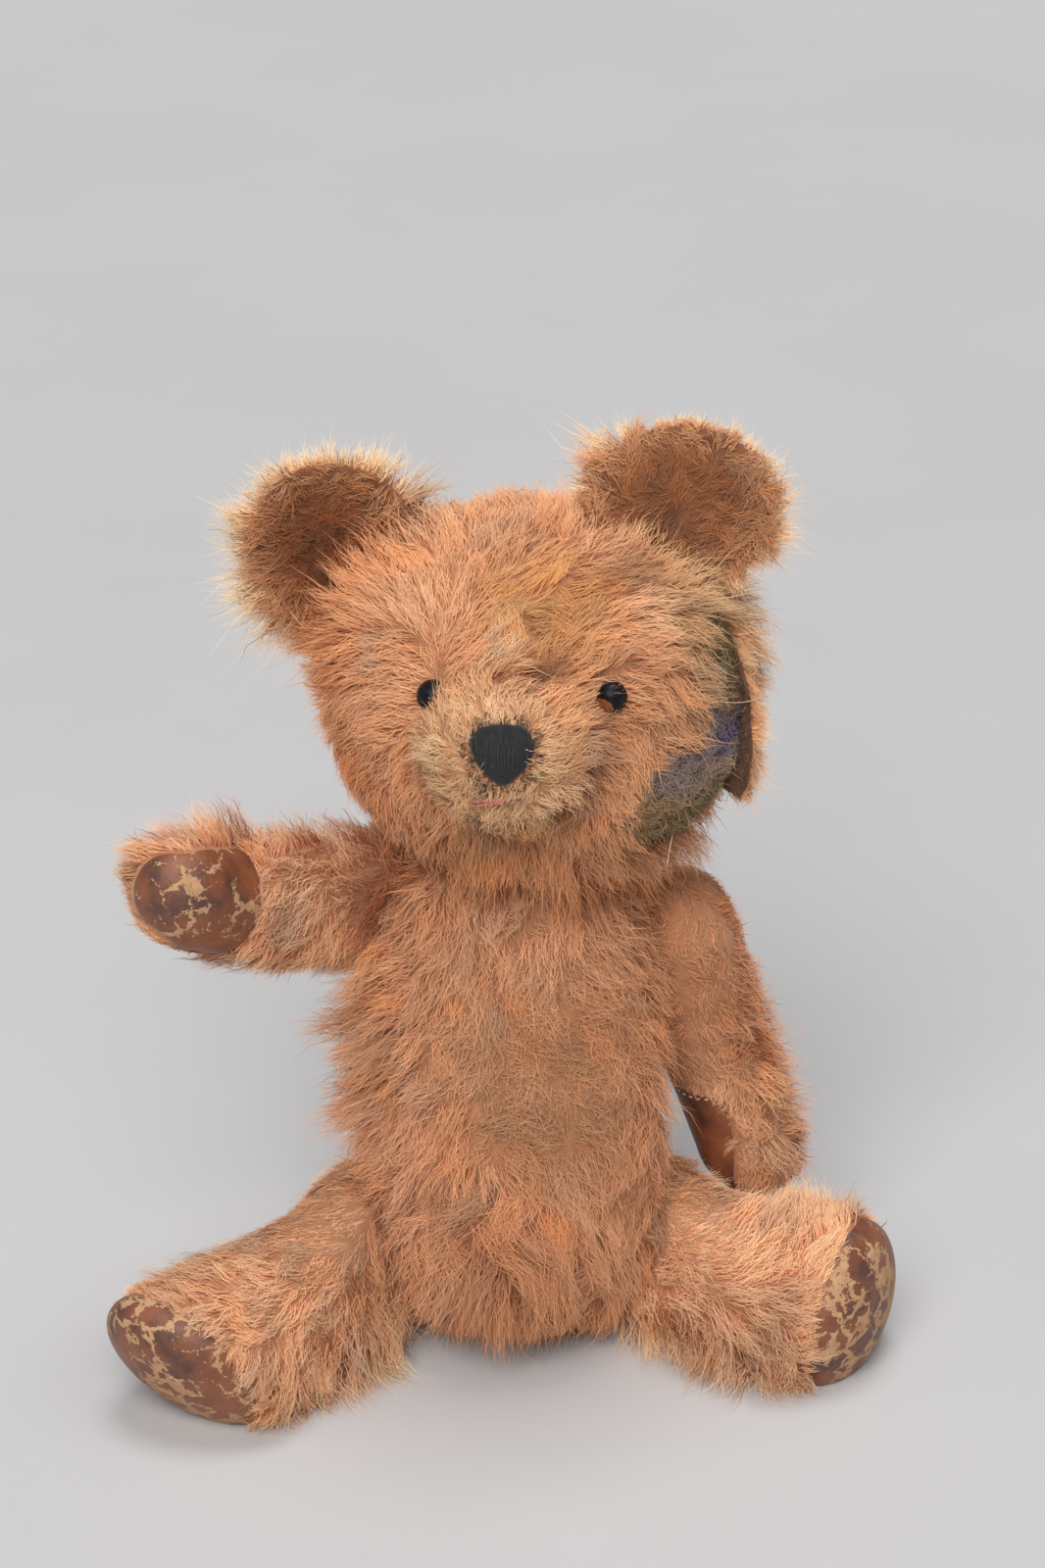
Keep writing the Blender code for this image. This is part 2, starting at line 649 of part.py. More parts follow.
def add_ears(parent, flats):
    room = surface(head_outline, flats, -GAP)
    room.transform(parent.matrix_world)
    head_room = add_object("head_room", room)
    for side, spec in EARS.items():
        mesh = ear_mesh(spec["cup"])
        mesh.transform(aimed_frame(spec["centre"], spec["facing"], spec["roll"]))
        ear = add_object(f"{side}_ear", mesh, "ear_plush", parent)
        boolean(ear, "DIFFERENCE", head_room)


def eye_mesh(grow):
    """A glass ball with the shank that anchors it, along +Y behind it."""
    def section(along):
        from_middle = along - EYE_RADIUS - grow
        ball = max((EYE_RADIUS + grow) ** 2 - from_middle**2, 0)
        half = max(math.sqrt(ball), EYE_SHANK + grow if from_middle > 0 else 0)
        return half, half, 0, 0

    length = EYE_LENGTH + 2 * grow
    return lofted(length, (1e-6, 1e-6), (14, 12), section, lambda y, x, z: (x, y - EYE_RADIUS - grow, z))


def add_eyes(parent, cover, filling):
    for side, spec in EYES.items():
        place = aimed_frame(spec["centre"], spec["facing"])
        ball = eye_mesh(0)
        ball.transform(place)
        add_object(f"{side}_eye", ball, "amber_glass", parent)
        room = eye_mesh(GAP)
        room.transform(parent.matrix_world @ place)
        socket = add_object(f"{side}_eye_socket", room)
        boolean(cover, "DIFFERENCE", socket)
        boolean(filling, "DIFFERENCE", socket)


def add_stitching(name, shape, flats, finish, parent):
    """Embroidery that lies on the muzzle: a thin skin over the cover, cut to its outline."""
    mesh = shell(head_outline, flats, -GAP - STITCH_THICKNESS, -GAP)
    stitching = add_object(name, mesh, finish, parent)
    outline = [(x * MM, z * MM) for x, z in shape]
    cutter = prism(f"{name}_outline", outline, *STITCH_DEPTHS, parent.matrix_world, "Y")
    boolean(stitching, "INTERSECT", cutter)


def flap_sheet():
    mesh = bmesh.new()
    rows = []
    for up, stand_off, width in FLAP_ROWS:
        taken = abs(FLAP_REAR / HEAD_HALF[1]) ** HEAD_ROUNDING + abs(up * MM / HEAD_HALF[2]) ** HEAD_ROUNDING
        side = HEAD_HALF[0] * (1 - taken) ** (1 / HEAD_ROUNDING) - FLAP_BITE + stand_off * MM
        rear = Vector((side, FLAP_REAR, up * MM))
        reach_out = FLAP_DIRECTION * width * MM
        rows.append([mesh.verts.new(rear + reach_out * column) for column in FLAP_COLUMNS])
    for upper, lower in zip(rows, rows[1:]):
        for i in range(len(upper) - 1):
            mesh.faces.new((upper[i], upper[i + 1], lower[i + 1], lower[i]))
    mesh.normal_update()
    bmesh.ops.solidify(mesh, geom=mesh.faces[:], thickness=FLAP_THICKNESS)
    outward(mesh)
    return mesh


def tear_cheek(cover, parent):
    back = Vector((0, 0, 1)).cross(TEAR_FACING)
    axes = Matrix((TEAR_FACING, back, Vector((0, 0, 1)))).transposed().to_4x4()
    outline = [(a * MM, b * MM) for a, b in TEAR_SHAPE]
    boolean(cover, "DIFFERENCE", prism("tear", outline, *TEAR_DEPTHS, parent.matrix_world @ axes, "X"))
    flap = flap_sheet()
    flap.transform(parent.matrix_world)
    boolean(cover, "UNION", add_object("torn_flap", flap))


def main():
    clear_scene()
    torso_parts, joints = add_torso()
    for joint in joints:
        add_limb(joint, torso_parts)
    (cover, filling), head, flats = add_head(torso_parts)
    tear_cheek(cover, head)
    add_eyes(head, cover, filling)
    add_ears(head, flats)
    add_stitching("nose_stitching", NOSE_SHAPE, flats, "black_thread", head)
    add_stitching("mouth_stitching", MOUTH_SHAPE, flats, "pink_thread", head)


main()
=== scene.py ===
"""Looks of an old jointed teddy bear: worn mohair, cracked pads and a torn cheek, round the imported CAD.

Metres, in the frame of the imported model. The bear faces -Y and its own left side is at +X.
"""

import math

import bmesh
import bpy
import numpy as np
from mathutils import Matrix, Vector
from mathutils.bvhtree import BVHTree
from mathutils.kdtree import KDTree


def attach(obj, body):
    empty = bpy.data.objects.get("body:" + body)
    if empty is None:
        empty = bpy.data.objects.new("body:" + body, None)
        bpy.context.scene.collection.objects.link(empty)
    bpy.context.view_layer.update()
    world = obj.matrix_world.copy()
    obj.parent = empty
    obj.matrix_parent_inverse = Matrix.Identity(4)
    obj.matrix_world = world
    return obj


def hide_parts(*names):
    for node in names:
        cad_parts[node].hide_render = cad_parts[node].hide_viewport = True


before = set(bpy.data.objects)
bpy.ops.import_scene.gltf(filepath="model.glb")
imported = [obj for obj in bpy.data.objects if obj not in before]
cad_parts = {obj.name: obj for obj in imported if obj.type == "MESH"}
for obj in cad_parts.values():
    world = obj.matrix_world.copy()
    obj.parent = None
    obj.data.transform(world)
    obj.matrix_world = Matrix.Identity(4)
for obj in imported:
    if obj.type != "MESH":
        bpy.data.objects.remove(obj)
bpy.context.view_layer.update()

MM = 0.001
SIDES = {"right": -1, "left": 1}

# ---------------------------------------------------------------- shapes of the covers, as in the CAD

TORSO = {
    "length": 189 * MM, "lift": -4 * MM, "rounding": (38 * MM, 45 * MM),
    "stations": ((0, 48, 45, -8), (50, 55, 47, -5), (100, 54, 44, 1), (145, 51, 39, 4), (190, 42, 33, 5)),
}
ARM = {
    "length": 130 * MM, "top": 22 * MM, "rounding": (22 * MM, 15 * MM),
    "stations": ((0, 18, 21, 13, 0), (24, 19, 22, 14, 0), (62, 19, 20, 21, 1), (98, 18, 19, 31, -1),
                 (130, 17, 18, 38, -5)),
}
LEG = {
    "length": 133 * MM, "rear": 27 * MM, "arc": 46 * MM, "rounding": (27 * MM, 18 * MM),
    "stations": ((0, 24, 26, 17, 0), (28, 25, 27, 17, 0), (66, 25, 26, 15, 0), (98, 26, 28, 16, 1),
                 (133, 29, 33, 18, 3)),
    "slump": (10 * MM, 106 * MM),
}
SHOULDERS = {
    "right": {"point": (-37, 12, 147), "normal": (-0.80, 0.54, 0.16), "turn": -105},
    "left": {"point": (42.4, 4, 142), "normal": (0.98, 0.12, 0.05), "turn": 7},
}
HIPS = {
    "right": {"point": (-36, -13, 33), "normal": (-0.86, 0.40, -0.30), "turn": 1},
    "left": {"point": (30, -11, 32), "normal": (0.72, 0.60, -0.34), "turn": -2},
}
SLUMPS = {
    "right": {"bend": math.radians(18), "twist": math.radians(34), "lean": 0.41, "stretch": 11 * MM},
    "left": {"bend": math.radians(22), "twist": 0, "lean": 0, "stretch": -2 * MM},
}
RUNNING_GAP = 0.5 * MM
HEAD_HALF = np.array((69, 56, 58)) * MM
HEAD_ROUNDING = 2.4
MUZZLE_CENTRE = np.array((-4, -52, 0)) * MM
MUZZLE_HALF = np.array((27, 33, 25)) * MM
MUZZLE_BLEND = 8
HEAD_CROWDING = 0.35
HEAD_BOTTOM = 180.5 * MM
EAR_HALF = np.array((31, 4.2, 27)) * MM
EARS = {
    "right": {"centre": (-68, 9, 47), "facing": (0.30, -0.93, 0.15), "roll": 48, "cup": 11 * MM},
    "left": {"centre": (48, 3, 61), "facing": (0.06, -0.93, 0.35), "roll": -18, "cup": 4 * MM},
}
EYES = {
    "right": {"centre": (-29, -53, 17), "facing": (-0.45, -0.85, 0.28)},
    "left": {"centre": (29, -53.5, 17), "facing": (0.45, -0.85, 0.28)},
}
EYE_RADIUS = 5.5 * MM
NOSE_SHAPE = ((-15, 13), (-12, 16.5), (4, 17), (6, 14), (6.5, 9), (3, 3), (-4, -1.5), (-11, 2), (-15, 7))
NOSE_WOOL = ((-15, 10), (-13, 15), (-7, 16.8), (1, 16.6), (5.4, 13.5), (6.5, 9), (3, 3), (-4, -1.5), (-11, 3))
MOUTH_SHAPE = ((-16, -6.5), (-6, -3.8), (2, -4.5), (11, -3.6), (11, -5), (2, -6.3), (-6, -6), (-16, -8.5))
TEAR_FACING = Vector((0.93, -0.37, 0)).normalized()
TEAR_SHAPE = (
    (-6, 31), (-11, 13), (-19, -2), (-29, -13), (-29, -32), (-22, -43), (-5, -45),
    (8, -36), (14, -20), (17, 0), (16, 18), (9, 32), (0, 37),
)


def matrix(m):
    return np.array(m, float)


def moved(points, m):
    m = matrix(m)
    return points @ m[:3, :3].T + m[:3, 3]


def unit(v):
    return v / np.maximum(np.linalg.norm(v, axis=-1, keepdims=True), 1e-12)


def smoothstep(x, low, high):
    t = np.clip((x - low) / (high - low), 0, 1)
    return t * t * (3 - 2 * t)


def columns(stations, at):
    """Catmull-Rom through stations of (distance, value, ...), read at many distances."""
    table = np.array(stations, float) * MM
    i = np.clip(np.searchsorted(table[:, 0], at) - 1, 0, len(table) - 2)
    before, start = table[np.maximum(i - 1, 0)], table[i]
    end, after = table[i + 1], table[np.minimum(i + 2, len(table) - 1)]
    t = ((at - start[:, 0]) / (end[:, 0] - start[:, 0]))[:, None]
    curve = 2 * start + (end - before) * t + (2 * before - 5 * start + 4 * end - after) * t**2
    return ((curve + (3 * start - before - 3 * end + after) * t**3) / 2)[:, 1:]


def closed_rings(grid):
    """Points and triangles of a closed body from a grid (rings + 1, sides, 3) whose end rings are poles."""
    rings, sides = len(grid) - 1, grid.shape[1]
    points = np.concatenate([grid[0, :1], grid[1:-1].reshape(-1, 3), grid[-1, :1]])
    rows = [np.zeros(sides, int)]
    rows += [1 + ring * sides + np.arange(sides) for ring in range(rings - 1)]
    rows.append(np.full(sides, len(points) - 1))
    tris = []
    for ring, (low, top) in enumerate(zip(rows, rows[1:])):
        after_low, after_top = np.roll(low, -1), np.roll(top, -1)
        if ring > 0:
            tris.append(np.stack([low, after_low, top], 1))
        if ring < rings - 1:
            tris.append(np.stack([after_low, after_top, top], 1))
    return points, np.concatenate(tris)


def ball(rings, sides):
    """Grids of x, y and z on a unit ball with its poles on Y."""
    angle = np.pi * np.arange(rings + 1) / rings
    turn = 2 * np.pi * np.arange(sides) / sides
    radius = np.sin(angle)[:, None]
    return radius * np.cos(turn), np.cos(angle)[:, None] + 0 * turn, radius * np.sin(turn)


def lofted(length, rounding, profile, place, rings, sides):
    """Points and triangles of a closed body of elliptical rings."""
    along = length * (1 - np.cos(np.pi * np.arange(rings + 1) / rings)) / 2
    half_a, half_b, middle_a, middle_b = profile(along).T
    near = np.minimum(along / rounding[0], 1)
    far = np.minimum((length - along) / rounding[1], 1)
    share = np.sqrt(1 - (1 - near) ** 2) * np.sqrt(1 - (1 - far) ** 2)
    angle = 2 * np.pi * np.arange(sides) / sides
    a = middle_a[:, None] + (half_a * share)[:, None] * np.cos(angle)
    b = middle_b[:, None] + (half_b * share)[:, None] * np.sin(angle)
    return closed_rings(place(along[:, None] + 0 * a, a, b))


def normals_of(points, tris):
    a, b, c = (points[tris[:, k]] for k in range(3))
    face = np.cross(b - a, c - a)
    total = np.zeros_like(points)
    for k in range(3):
        for axis in range(3):
            total[:, axis] += np.bincount(tris[:, k], face[:, axis], len(points))
    return unit(total)


class Skin:
    """A closed surface in the row frame, with its own frame for placing things on it."""

    def __init__(self, points, tris, own_frame, flats=()):
        for point, normal in flats:
            depth = (points - np.array(point)) @ np.array(normal)
            points = points - np.maximum(depth, 0)[:, None] * np.array(normal)
        self.points, self.tris, self.frame = moved(points, own_frame), tris, Matrix(own_frame)
        a, b, c = (self.points[tris[:, k]] for k in range(3))
        if np.einsum("ij,ij->i", a, np.cross(b, c)).sum() < 0:
            self.tris = tris[:, ::-1]
        self.normals = normals_of(self.points, self.tris)
        self.tree = BVHTree.FromPolygons(self.points.tolist(), self.tris.tolist())

    def local(self, points):
        return moved(points, self.frame.inverted())

    def cast(self, origin, direction):
        """Where rays in the skin's own frame meet it: points and normals in the row frame."""
        turn = self.frame.to_3x3()
        hits = []
        for start, way in zip(origin, direction):
            start, way = self.frame @ Vector(start), (turn @ Vector(way)).normalized()
            spot, normal, _, _ = self.tree.ray_cast(start, way)
            if spot is None:
                spot, normal, _, _ = self.tree.find_nearest(start)
            hits.append((*spot, *normal))
        hits = np.array(hits)
        return hits[:, :3], unit(hits[:, 3:])

    def wrap(self, origin, direction, ways, moves):
        """Points reached by walking over the skin from where a ray meets it: each row of moves is a step
        along each of the ways, which are in the skin's own frame."""
        first, facing = self.cast(origin, direction)
        ways = ways @ matrix(self.frame)[:3, :3].T
        spots, normals = np.repeat(first, len(ways), 0), np.repeat(facing, len(ways), 0)
        all_spots, all_normals = [first], [facing]
        for move in moves:
            ways = unit(ways - normals * np.einsum("ij,ij->i", ways, normals)[:, None])
            found = [self.tree.find_nearest(spot) for spot in spots + ways * move[:, None]]
            new, normals = (np.array([f[k] for f in found], float) for k in (0, 1))
            ways = unit(ways + unit(new - spots))
            spots = new
            all_spots.append(spots)
            all_normals.append(normals)
        return np.concatenate(all_spots), unit(np.concatenate(all_normals))


def shell(points, tris, own_frame=Matrix()):
    """An open surface on which things grow to the side that its triangles face."""
    skin = Skin(points, tris, own_frame)
    skin.normals = normals_of(skin.points, skin.tris)
    return skin


def limb_frame(spec, side):
    """A frame at a joint, with X along its pin and Z up the limb before it is turned about the pin."""
    normal = Vector(spec["normal"]).normalized()
    out = normal * SIDES[side]
    up = (Vector((0, 0, 1)) - out * out.z).normalized()
    axes = Matrix((out, up.cross(out), up)).transposed().to_4x4()
    place = Matrix.Translation(Vector(spec["point"]) * MM + normal * RUNNING_GAP)
    return place @ axes @ Matrix.Rotation(math.radians(spec["turn"]), 4, "X")


def torso_skin(rings=64, sides=76):
    def profile(height):
        half_x, half_y, middle_y = columns(TORSO["stations"], height).T
        return np.stack([half_x, half_y, 0 * half_x, middle_y], 1)

    points, tris = lofted(TORSO["length"], TORSO["rounding"], profile,
                          lambda z, x, y: np.stack([x, y, z + TORSO["lift"]], -1), rings, sides)
    flats = [((0, 0, 0), (0, 0, -1)), ((0, 0, 180 * MM), (0, 0, 1))]
    for spec in (*SHOULDERS.values(), *HIPS.values()):
        flats.append((Vector(spec["point"]) * MM, Vector(spec["normal"]).normalized()))
    return Skin(points, tris, Matrix(), flats)


def arm_skin(side, rings=52, sides=48):
    sign = SIDES[side]
    points, tris = lofted(ARM["length"], ARM["rounding"], lambda at: columns(ARM["stations"], at),
                          lambda along, x, y: np.stack([sign * x, y, ARM["top"] - along], -1), rings, sides)
    return Skin(points, tris, limb_frame(SHOULDERS[side], side), [((0, 0, 0), (-sign, 0, 0))])


def bent(side, bend, along, across, up):
    """A point of the bent leg, in its own frame, at a distance along from the hip axis."""
    angle = bend * np.clip(along / LEG["arc"], 0, 1)
    radius = LEG["arc"] / bend
    out = radius * (1 - np.cos(angle)) + across * np.cos(angle)
    forward = radius * np.sin(angle) - across * np.sin(angle)
    straight = np.where(along > LEG["arc"], along - LEG["arc"], np.minimum(along, 0))
    return np.stack([side * (out + straight * np.sin(angle)), -forward - straight * np.cos(angle), up], -1)


def slumped(side, along, across, up):
    """A point of the leg as it lies: twisted and leant more and more towards the foot, and bent."""
    slump, (start, end) = SLUMPS[side], LEG["slump"]
    share = smoothstep(along, start, end)
    middles = columns(LEG["stations"], np.clip(along + LEG["rear"], 0, LEG["length"]).ravel())
    middle_x, middle_z = middles[:, 2].reshape(along.shape), middles[:, 3].reshape(along.shape)
    twist = slump["twist"] * share
    x, z = across - middle_x, up - middle_z
    x, z = x * np.cos(twist) + z * np.sin(twist), z * np.cos(twist) - x * np.sin(twist)
    along = along + (slump["lean"] * z + slump["stretch"]) * share
    return bent(SIDES[side], slump["bend"], along, middle_x + x, middle_z + z)


def leg_skin(side, rings=60, sides=60):
    sign, spec = SIDES[side], HIPS[side]
    place = lambda along, x, z: slumped(side, along - LEG["rear"], x, z)
    points, tris = lofted(LEG["length"], LEG["rounding"], lambda at: columns(LEG["stations"], at), place,
                          rings, sides)
    own = limb_frame(spec, side)
    ground = own.inverted().to_3x3() @ Vector((0, 0, -1))
    flats = [((0, 0, 0), (-sign, 0, 0)), (own.inverted() @ Vector((0, 0, 0)), ground.normalized())]
    return Skin(points, tris, own, flats)


def head_frame():
    own = Matrix.Translation(Vector((6, 4, 236)) * MM) @ Matrix.Rotation(math.radians(-5), 4, "Z")
    return own @ Matrix.Rotation(math.radians(-2), 4, "Y")


def head_skin(fineness=5):
    ball = bpy.data.meshes.new("ball")
    builder = bmesh.new()
    bmesh.ops.create_icosphere(builder, subdivisions=fineness, radius=1)
    builder.to_mesh(ball)
    builder.free()
    spots = np.zeros(len(ball.vertices) * 3)
    ball.vertices.foreach_get("co", spots)
    tris = np.zeros(len(ball.polygons) * 3, int)
    ball.polygons.foreach_get("vertices", tris)
    bpy.data.meshes.remove(ball)
    ways = unit(spots.reshape(-1, 3) - (0, HEAD_CROWDING, 0))
    skull = ((np.abs(ways) / HEAD_HALF) ** HEAD_ROUNDING).sum(1) ** (-1 / HEAD_ROUNDING)
    centre, ray = MUZZLE_CENTRE / MUZZLE_HALF, ways / MUZZLE_HALF
    along, square = ray @ centre, (ray**2).sum(1)
    inside = along**2 - square * (centre @ centre - 1)
    muzzle = np.where((inside > 0) & (along > 0), (along + np.sqrt(np.maximum(inside, 0))) / square, 0)
    far = (skull**MUZZLE_BLEND + muzzle**MUZZLE_BLEND) ** (1 / MUZZLE_BLEND)
    own = head_frame()
    up = own.inverted().to_3x3() @ Vector((0, 0, 1))
    bottom = own.inverted() @ Vector((6 * MM, 4 * MM, HEAD_BOTTOM))
    return Skin(ways * far[:, None], tris.reshape(-1, 3), own, [(bottom, -up)])


def aimed_frame(centre, facing, roll=0):
    """A frame whose -Y looks along facing, rolled about it."""
    turn = (-Vector(facing)).to_track_quat("Y", "Z").to_matrix().to_4x4()
    return Matrix.Translation(Vector(centre) * MM) @ turn @ Matrix.Rotation(math.radians(roll), 4, "Y")


def ear_skin(side, rings=36, sides=60):
    """A flat pillow with a round rim, cupped forwards. Its own frame has the hollow side towards -Y."""
    spec = EARS[side]
    x, y, z = ball(rings, sides)
    square = np.minimum(x * x + z * z, 1)
    fullness = np.sign(y) * np.sqrt(np.maximum(1 - square**2, 0))
    grid = np.stack([x * EAR_HALF[0], fullness * EAR_HALF[1] - spec["cup"] * square, z * EAR_HALF[2]], -1)
    own = head_frame() @ aimed_frame(spec["centre"], spec["facing"], spec["roll"])
    return Skin(*closed_rings(grid), own)


SKINS = {"torso": torso_skin(), "head": head_skin()}
for _side in SIDES:
    SKINS[f"{_side}_arm"] = arm_skin(_side)
    SKINS[f"{_side}_leg"] = leg_skin(_side)
    SKINS[f"{_side}_ear"] = ear_skin(_side)


# ---------------------------------------------------------------- distance field round all the skins

class Field:
    """Signed distance to the covers on a grid, read between its points."""

    def __init__(self, skins, step=4 * MM, margin=26 * MM):
        points = np.concatenate([s.points for s in skins])
        shift, tris = 0, []
        for s in skins:
            tris.append(s.tris + shift)
            shift += len(s.points)
        tree = BVHTree.FromPolygons(points.tolist(), np.concatenate(tris).tolist())
        self.low, self.step = points.min(0) - margin, step
        self.size = np.ceil((points.max(0) + margin - self.low) / step).astype(int) + 1
        values = np.full(self.size, margin)
        for index in np.ndindex(*self.size):
            spot = self.low + np.array(index) * step
            found = tree.find_nearest(spot, margin)
            if found[0] is not None:
                away = Vector(spot) - found[0]
                values[index] = math.copysign(found[3], away.dot(found[1]))
        slopes = np.gradient(values, step)
        self.table = np.stack([values, *slopes], -1)

    def __call__(self, points):
        at = np.clip((points - self.low) / self.step, 0, self.size - 1.001)
        base = at.astype(int)
        part = at - base
        total = np.zeros((len(points), 4))
        for corner in np.ndindex(2, 2, 2):
            weight = np.prod(np.where(corner, part, 1 - part), 1)
            spot = base + corner
            total += self.table[spot[:, 0], spot[:, 1], spot[:, 2]] * weight[:, None]
        return total[:, 0], unit(total[:, 1:])


FIELD = Field(list(SKINS.values()))
PAD_TREES = {}


# ---------------------------------------------------------------- colour and noise

def tone(*srgb):
    """Linear colour from 0-255 sRGB."""
    c = np.array(srgb, float) / 255
    return np.where(c <= 0.04045, c / 12.92, ((c + 0.055) / 1.055) ** 2.4)


def wobble(points, size, seed, octaves=3):
    """Smooth noise from -1 to 1 that is the same each run."""
    rng = np.random.default_rng(seed)
    total, weight = np.zeros(len(points)), 0
    for octave in range(octaves):
        scale, share = 2 * np.pi / size * 1.9**octave, 0.6**octave
        for _ in range(5):
            way = unit(rng.normal(size=3))
            total += share * np.sin(points @ way * scale * rng.uniform(0.7, 1.3) + rng.uniform(0, 7)) / 5
        weight += share
    return np.clip(total / weight * 2.2, -1, 1)


def blob(points, centre, radius, soft=0.5):
    """1 inside a ball and 0 outside it, with a soft edge."""
    far = np.linalg.norm(points - np.array(centre) * MM, axis=1) / (radius * MM)
    return 1 - smoothstep(far, 1 - soft, 1 + soft)


def inside_outline(a, b, outline):
    """Which (a, b) points lie inside a closed outline."""
    outline = np.array(outline, float)
    hit = np.zeros(len(a), bool)
    for (x0, y0), (x1, y1) in zip(outline, np.roll(outline, -1, axis=0)):
        crosses = (y0 > b) != (y1 > b)
        hit ^= crosses & (a < (x1 - x0) * (b - y0) / (y1 - y0 + 1e-12) + x0)
    return hit


# ---------------------------------------------------------------- materials

def new_material(name, roughness=0.8, **fixed):
    made = bpy.data.materials.new(name)
    made.use_nodes = True
    shader = made.node_tree.nodes["Principled BSDF"]
    shader.inputs["Roughness"].default_value = roughness
    for socket, value in fixed.items():
        shader.inputs[socket.replace("_", " ")].default_value = value
    return made, made.node_tree, shader


def add_node(tree, kind, inputs=(), **settings):
    node = tree.nodes.new(kind)
    for key, value in settings.items():
        setattr(node, key, value)
    for socket, value in dict(inputs).items():
        if isinstance(value, bpy.types.NodeSocket):
            tree.links.new(value, node.inputs[socket])
        else:
            node.inputs[socket].default_value = value
    return node


def noise(tree, where, scale, detail=3, roughness=0.6):
    return add_node(tree, "ShaderNodeTexNoise", {
        "Vector": where, "Scale": scale, "Detail": detail, "Roughness": roughness,
    }).outputs["Fac"]


def ramp(tree, value, stops):
    node = add_node(tree, "ShaderNodeValToRGB", {"Fac": value})
    elements = node.color_ramp.elements
    while len(elements) < len(stops):
        elements.new(0.5)
    for element, (at, colour) in zip(elements, stops):
        element.position = at
        element.color = (*colour, 1)
    return node.outputs["Color"]


def mixed(tree, share, first, second, blend="MIX"):
    node = add_node(tree, "ShaderNodeMix", data_type="RGBA", blend_type=blend)
    for socket, value in ((0, share), (6, first), (7, second)):
        if isinstance(value, bpy.types.NodeSocket):
            tree.links.new(value, node.inputs[socket])
        elif socket:
            node.inputs[socket].default_value = (*value, 1)
        else:
            node.inputs[0].default_value = value
    return node.outputs[2]


def bump(tree, shader, height, distance, strength=1.0):
    node = add_node(tree, "ShaderNodeBump", {"Height": height, "Distance": distance, "Strength": strength})
    tree.links.new(node.outputs["Normal"], shader.inputs["Normal"])


def object_coords(tree):
    return add_node(tree, "ShaderNodeTexCoord").outputs["Object"]


def mottled(name, roughness, stops, scale, detail=3, rough=0.6, grain=None, **fixed):
    """A material of one mottled colour. Its grain is the scale, detail, roughness, depth and strength of
    its bumps."""
    made, tree, shader = new_material(name, roughness, **fixed)
    where = object_coords(tree)
    colour = ramp(tree, noise(tree, where, scale, detail, rough), stops)
    tree.links.new(colour, shader.inputs["Base Color"])
    if grain:
        bump(tree, shader, noise(tree, where, *grain[:3]), *grain[3:])
    return made


def thread_material(name, dark, light):
    return mottled(name, 0.85, [(0.3, dark), (0.7, light)], 400, grain=(2600, 2, 0.6, 0.0002, 0.6),
                   Sheen_Weight=0.2)


def fur_material(name):
    """Hair coloured per strand, with fine variation along it."""
    made, tree, shader = new_material(name, 0.62, Specular_IOR_Level=0.28)
    strand = add_node(tree, "ShaderNodeAttribute", attribute_name="coat").outputs["Color"]
    fine = ramp(tree, noise(tree, object_coords(tree), 900, 2), [(0.3, (0.86,) * 3), (0.7, (1.1,) * 3)])
    tree.links.new(mixed(tree, 1.0, strand, fine, "MULTIPLY"), shader.inputs["Base Color"])
    return made


def backing_material(name, dark, light, weave=900):
    """Woven cotton backing with worn pile roots."""
    made, tree, shader = new_material(name, 0.9, Sheen_Weight=0.15)
    where = object_coords(tree)
    patches = noise(tree, where, 90, 5, 0.65)
    colour = ramp(tree, patches, [(0.3, dark), (0.7, light)])
    threads = add_node(tree, "ShaderNodeTexWave", {
        "Vector": where, "Scale": weave, "Distortion": 4.0, "Detail": 2.0,
    }).outputs["Fac"]
    shade = ramp(tree, threads, [(0.2, (0.72,) * 3), (0.8, (1.05,) * 3)])
    tree.links.new(mixed(tree, 1.0, colour, shade, "MULTIPLY"), shader.inputs["Base Color"])
    bump(tree, shader, threads, 0.0003, 0.5)
    return made


FUR = fur_material("mohair")
BACKING = backing_material("plush_backing", tone(176, 118, 80), tone(214, 154, 110))
CREAM_THREAD = thread_material("cream_thread", tone(166, 130, 90), tone(222, 194, 152))


# ---------------------------------------------------------------- meshes

def mesh_object(name, points, faces, materials, body, replaces=()):
    """A smooth mesh that moves with a body and stands in for the nodes it replaces."""
    mesh = bpy.data.meshes.new(name)
    points = np.asarray(points, np.float32)
    faces = np.asarray(faces)
    mesh.vertices.add(len(points))
    mesh.vertices.foreach_set("co", points.ravel())
    count, width = faces.shape
    mesh.loops.add(count * width)
    mesh.loops.foreach_set("vertex_index", faces.ravel().astype(np.int32))
    mesh.polygons.add(count)
    mesh.polygons.foreach_set("loop_start", np.arange(0, count * width, width, dtype=np.int32))
    mesh.update(calc_edges=True)
    mesh.validate()
    for made in materials:
        mesh.materials.append(made)
    mesh.shade_smooth()
    obj = bpy.data.objects.new(name, mesh)
    bpy.context.scene.collection.objects.link(obj)
    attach(obj, body)
    if replaces:
        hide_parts(*replaces)
    return obj


def along_path(path, t):
    """Points of many polylines (N, P, 3) at shares t (N, Q)."""
    last = path.shape[1] - 1
    at = np.clip(t, 0, 1) * last
    base = np.minimum(at.astype(int), last - 1)
    part = (at - base)[..., None]
    rows = np.arange(len(path))[:, None]
    return path[rows, base] * (1 - part) + path[rows, base + 1] * part


LANDING, LANDED_SPREAD = 3.5 * MM, 0.8
PRESS_IN, STEEPEST_RISE = 0.7, 1.6


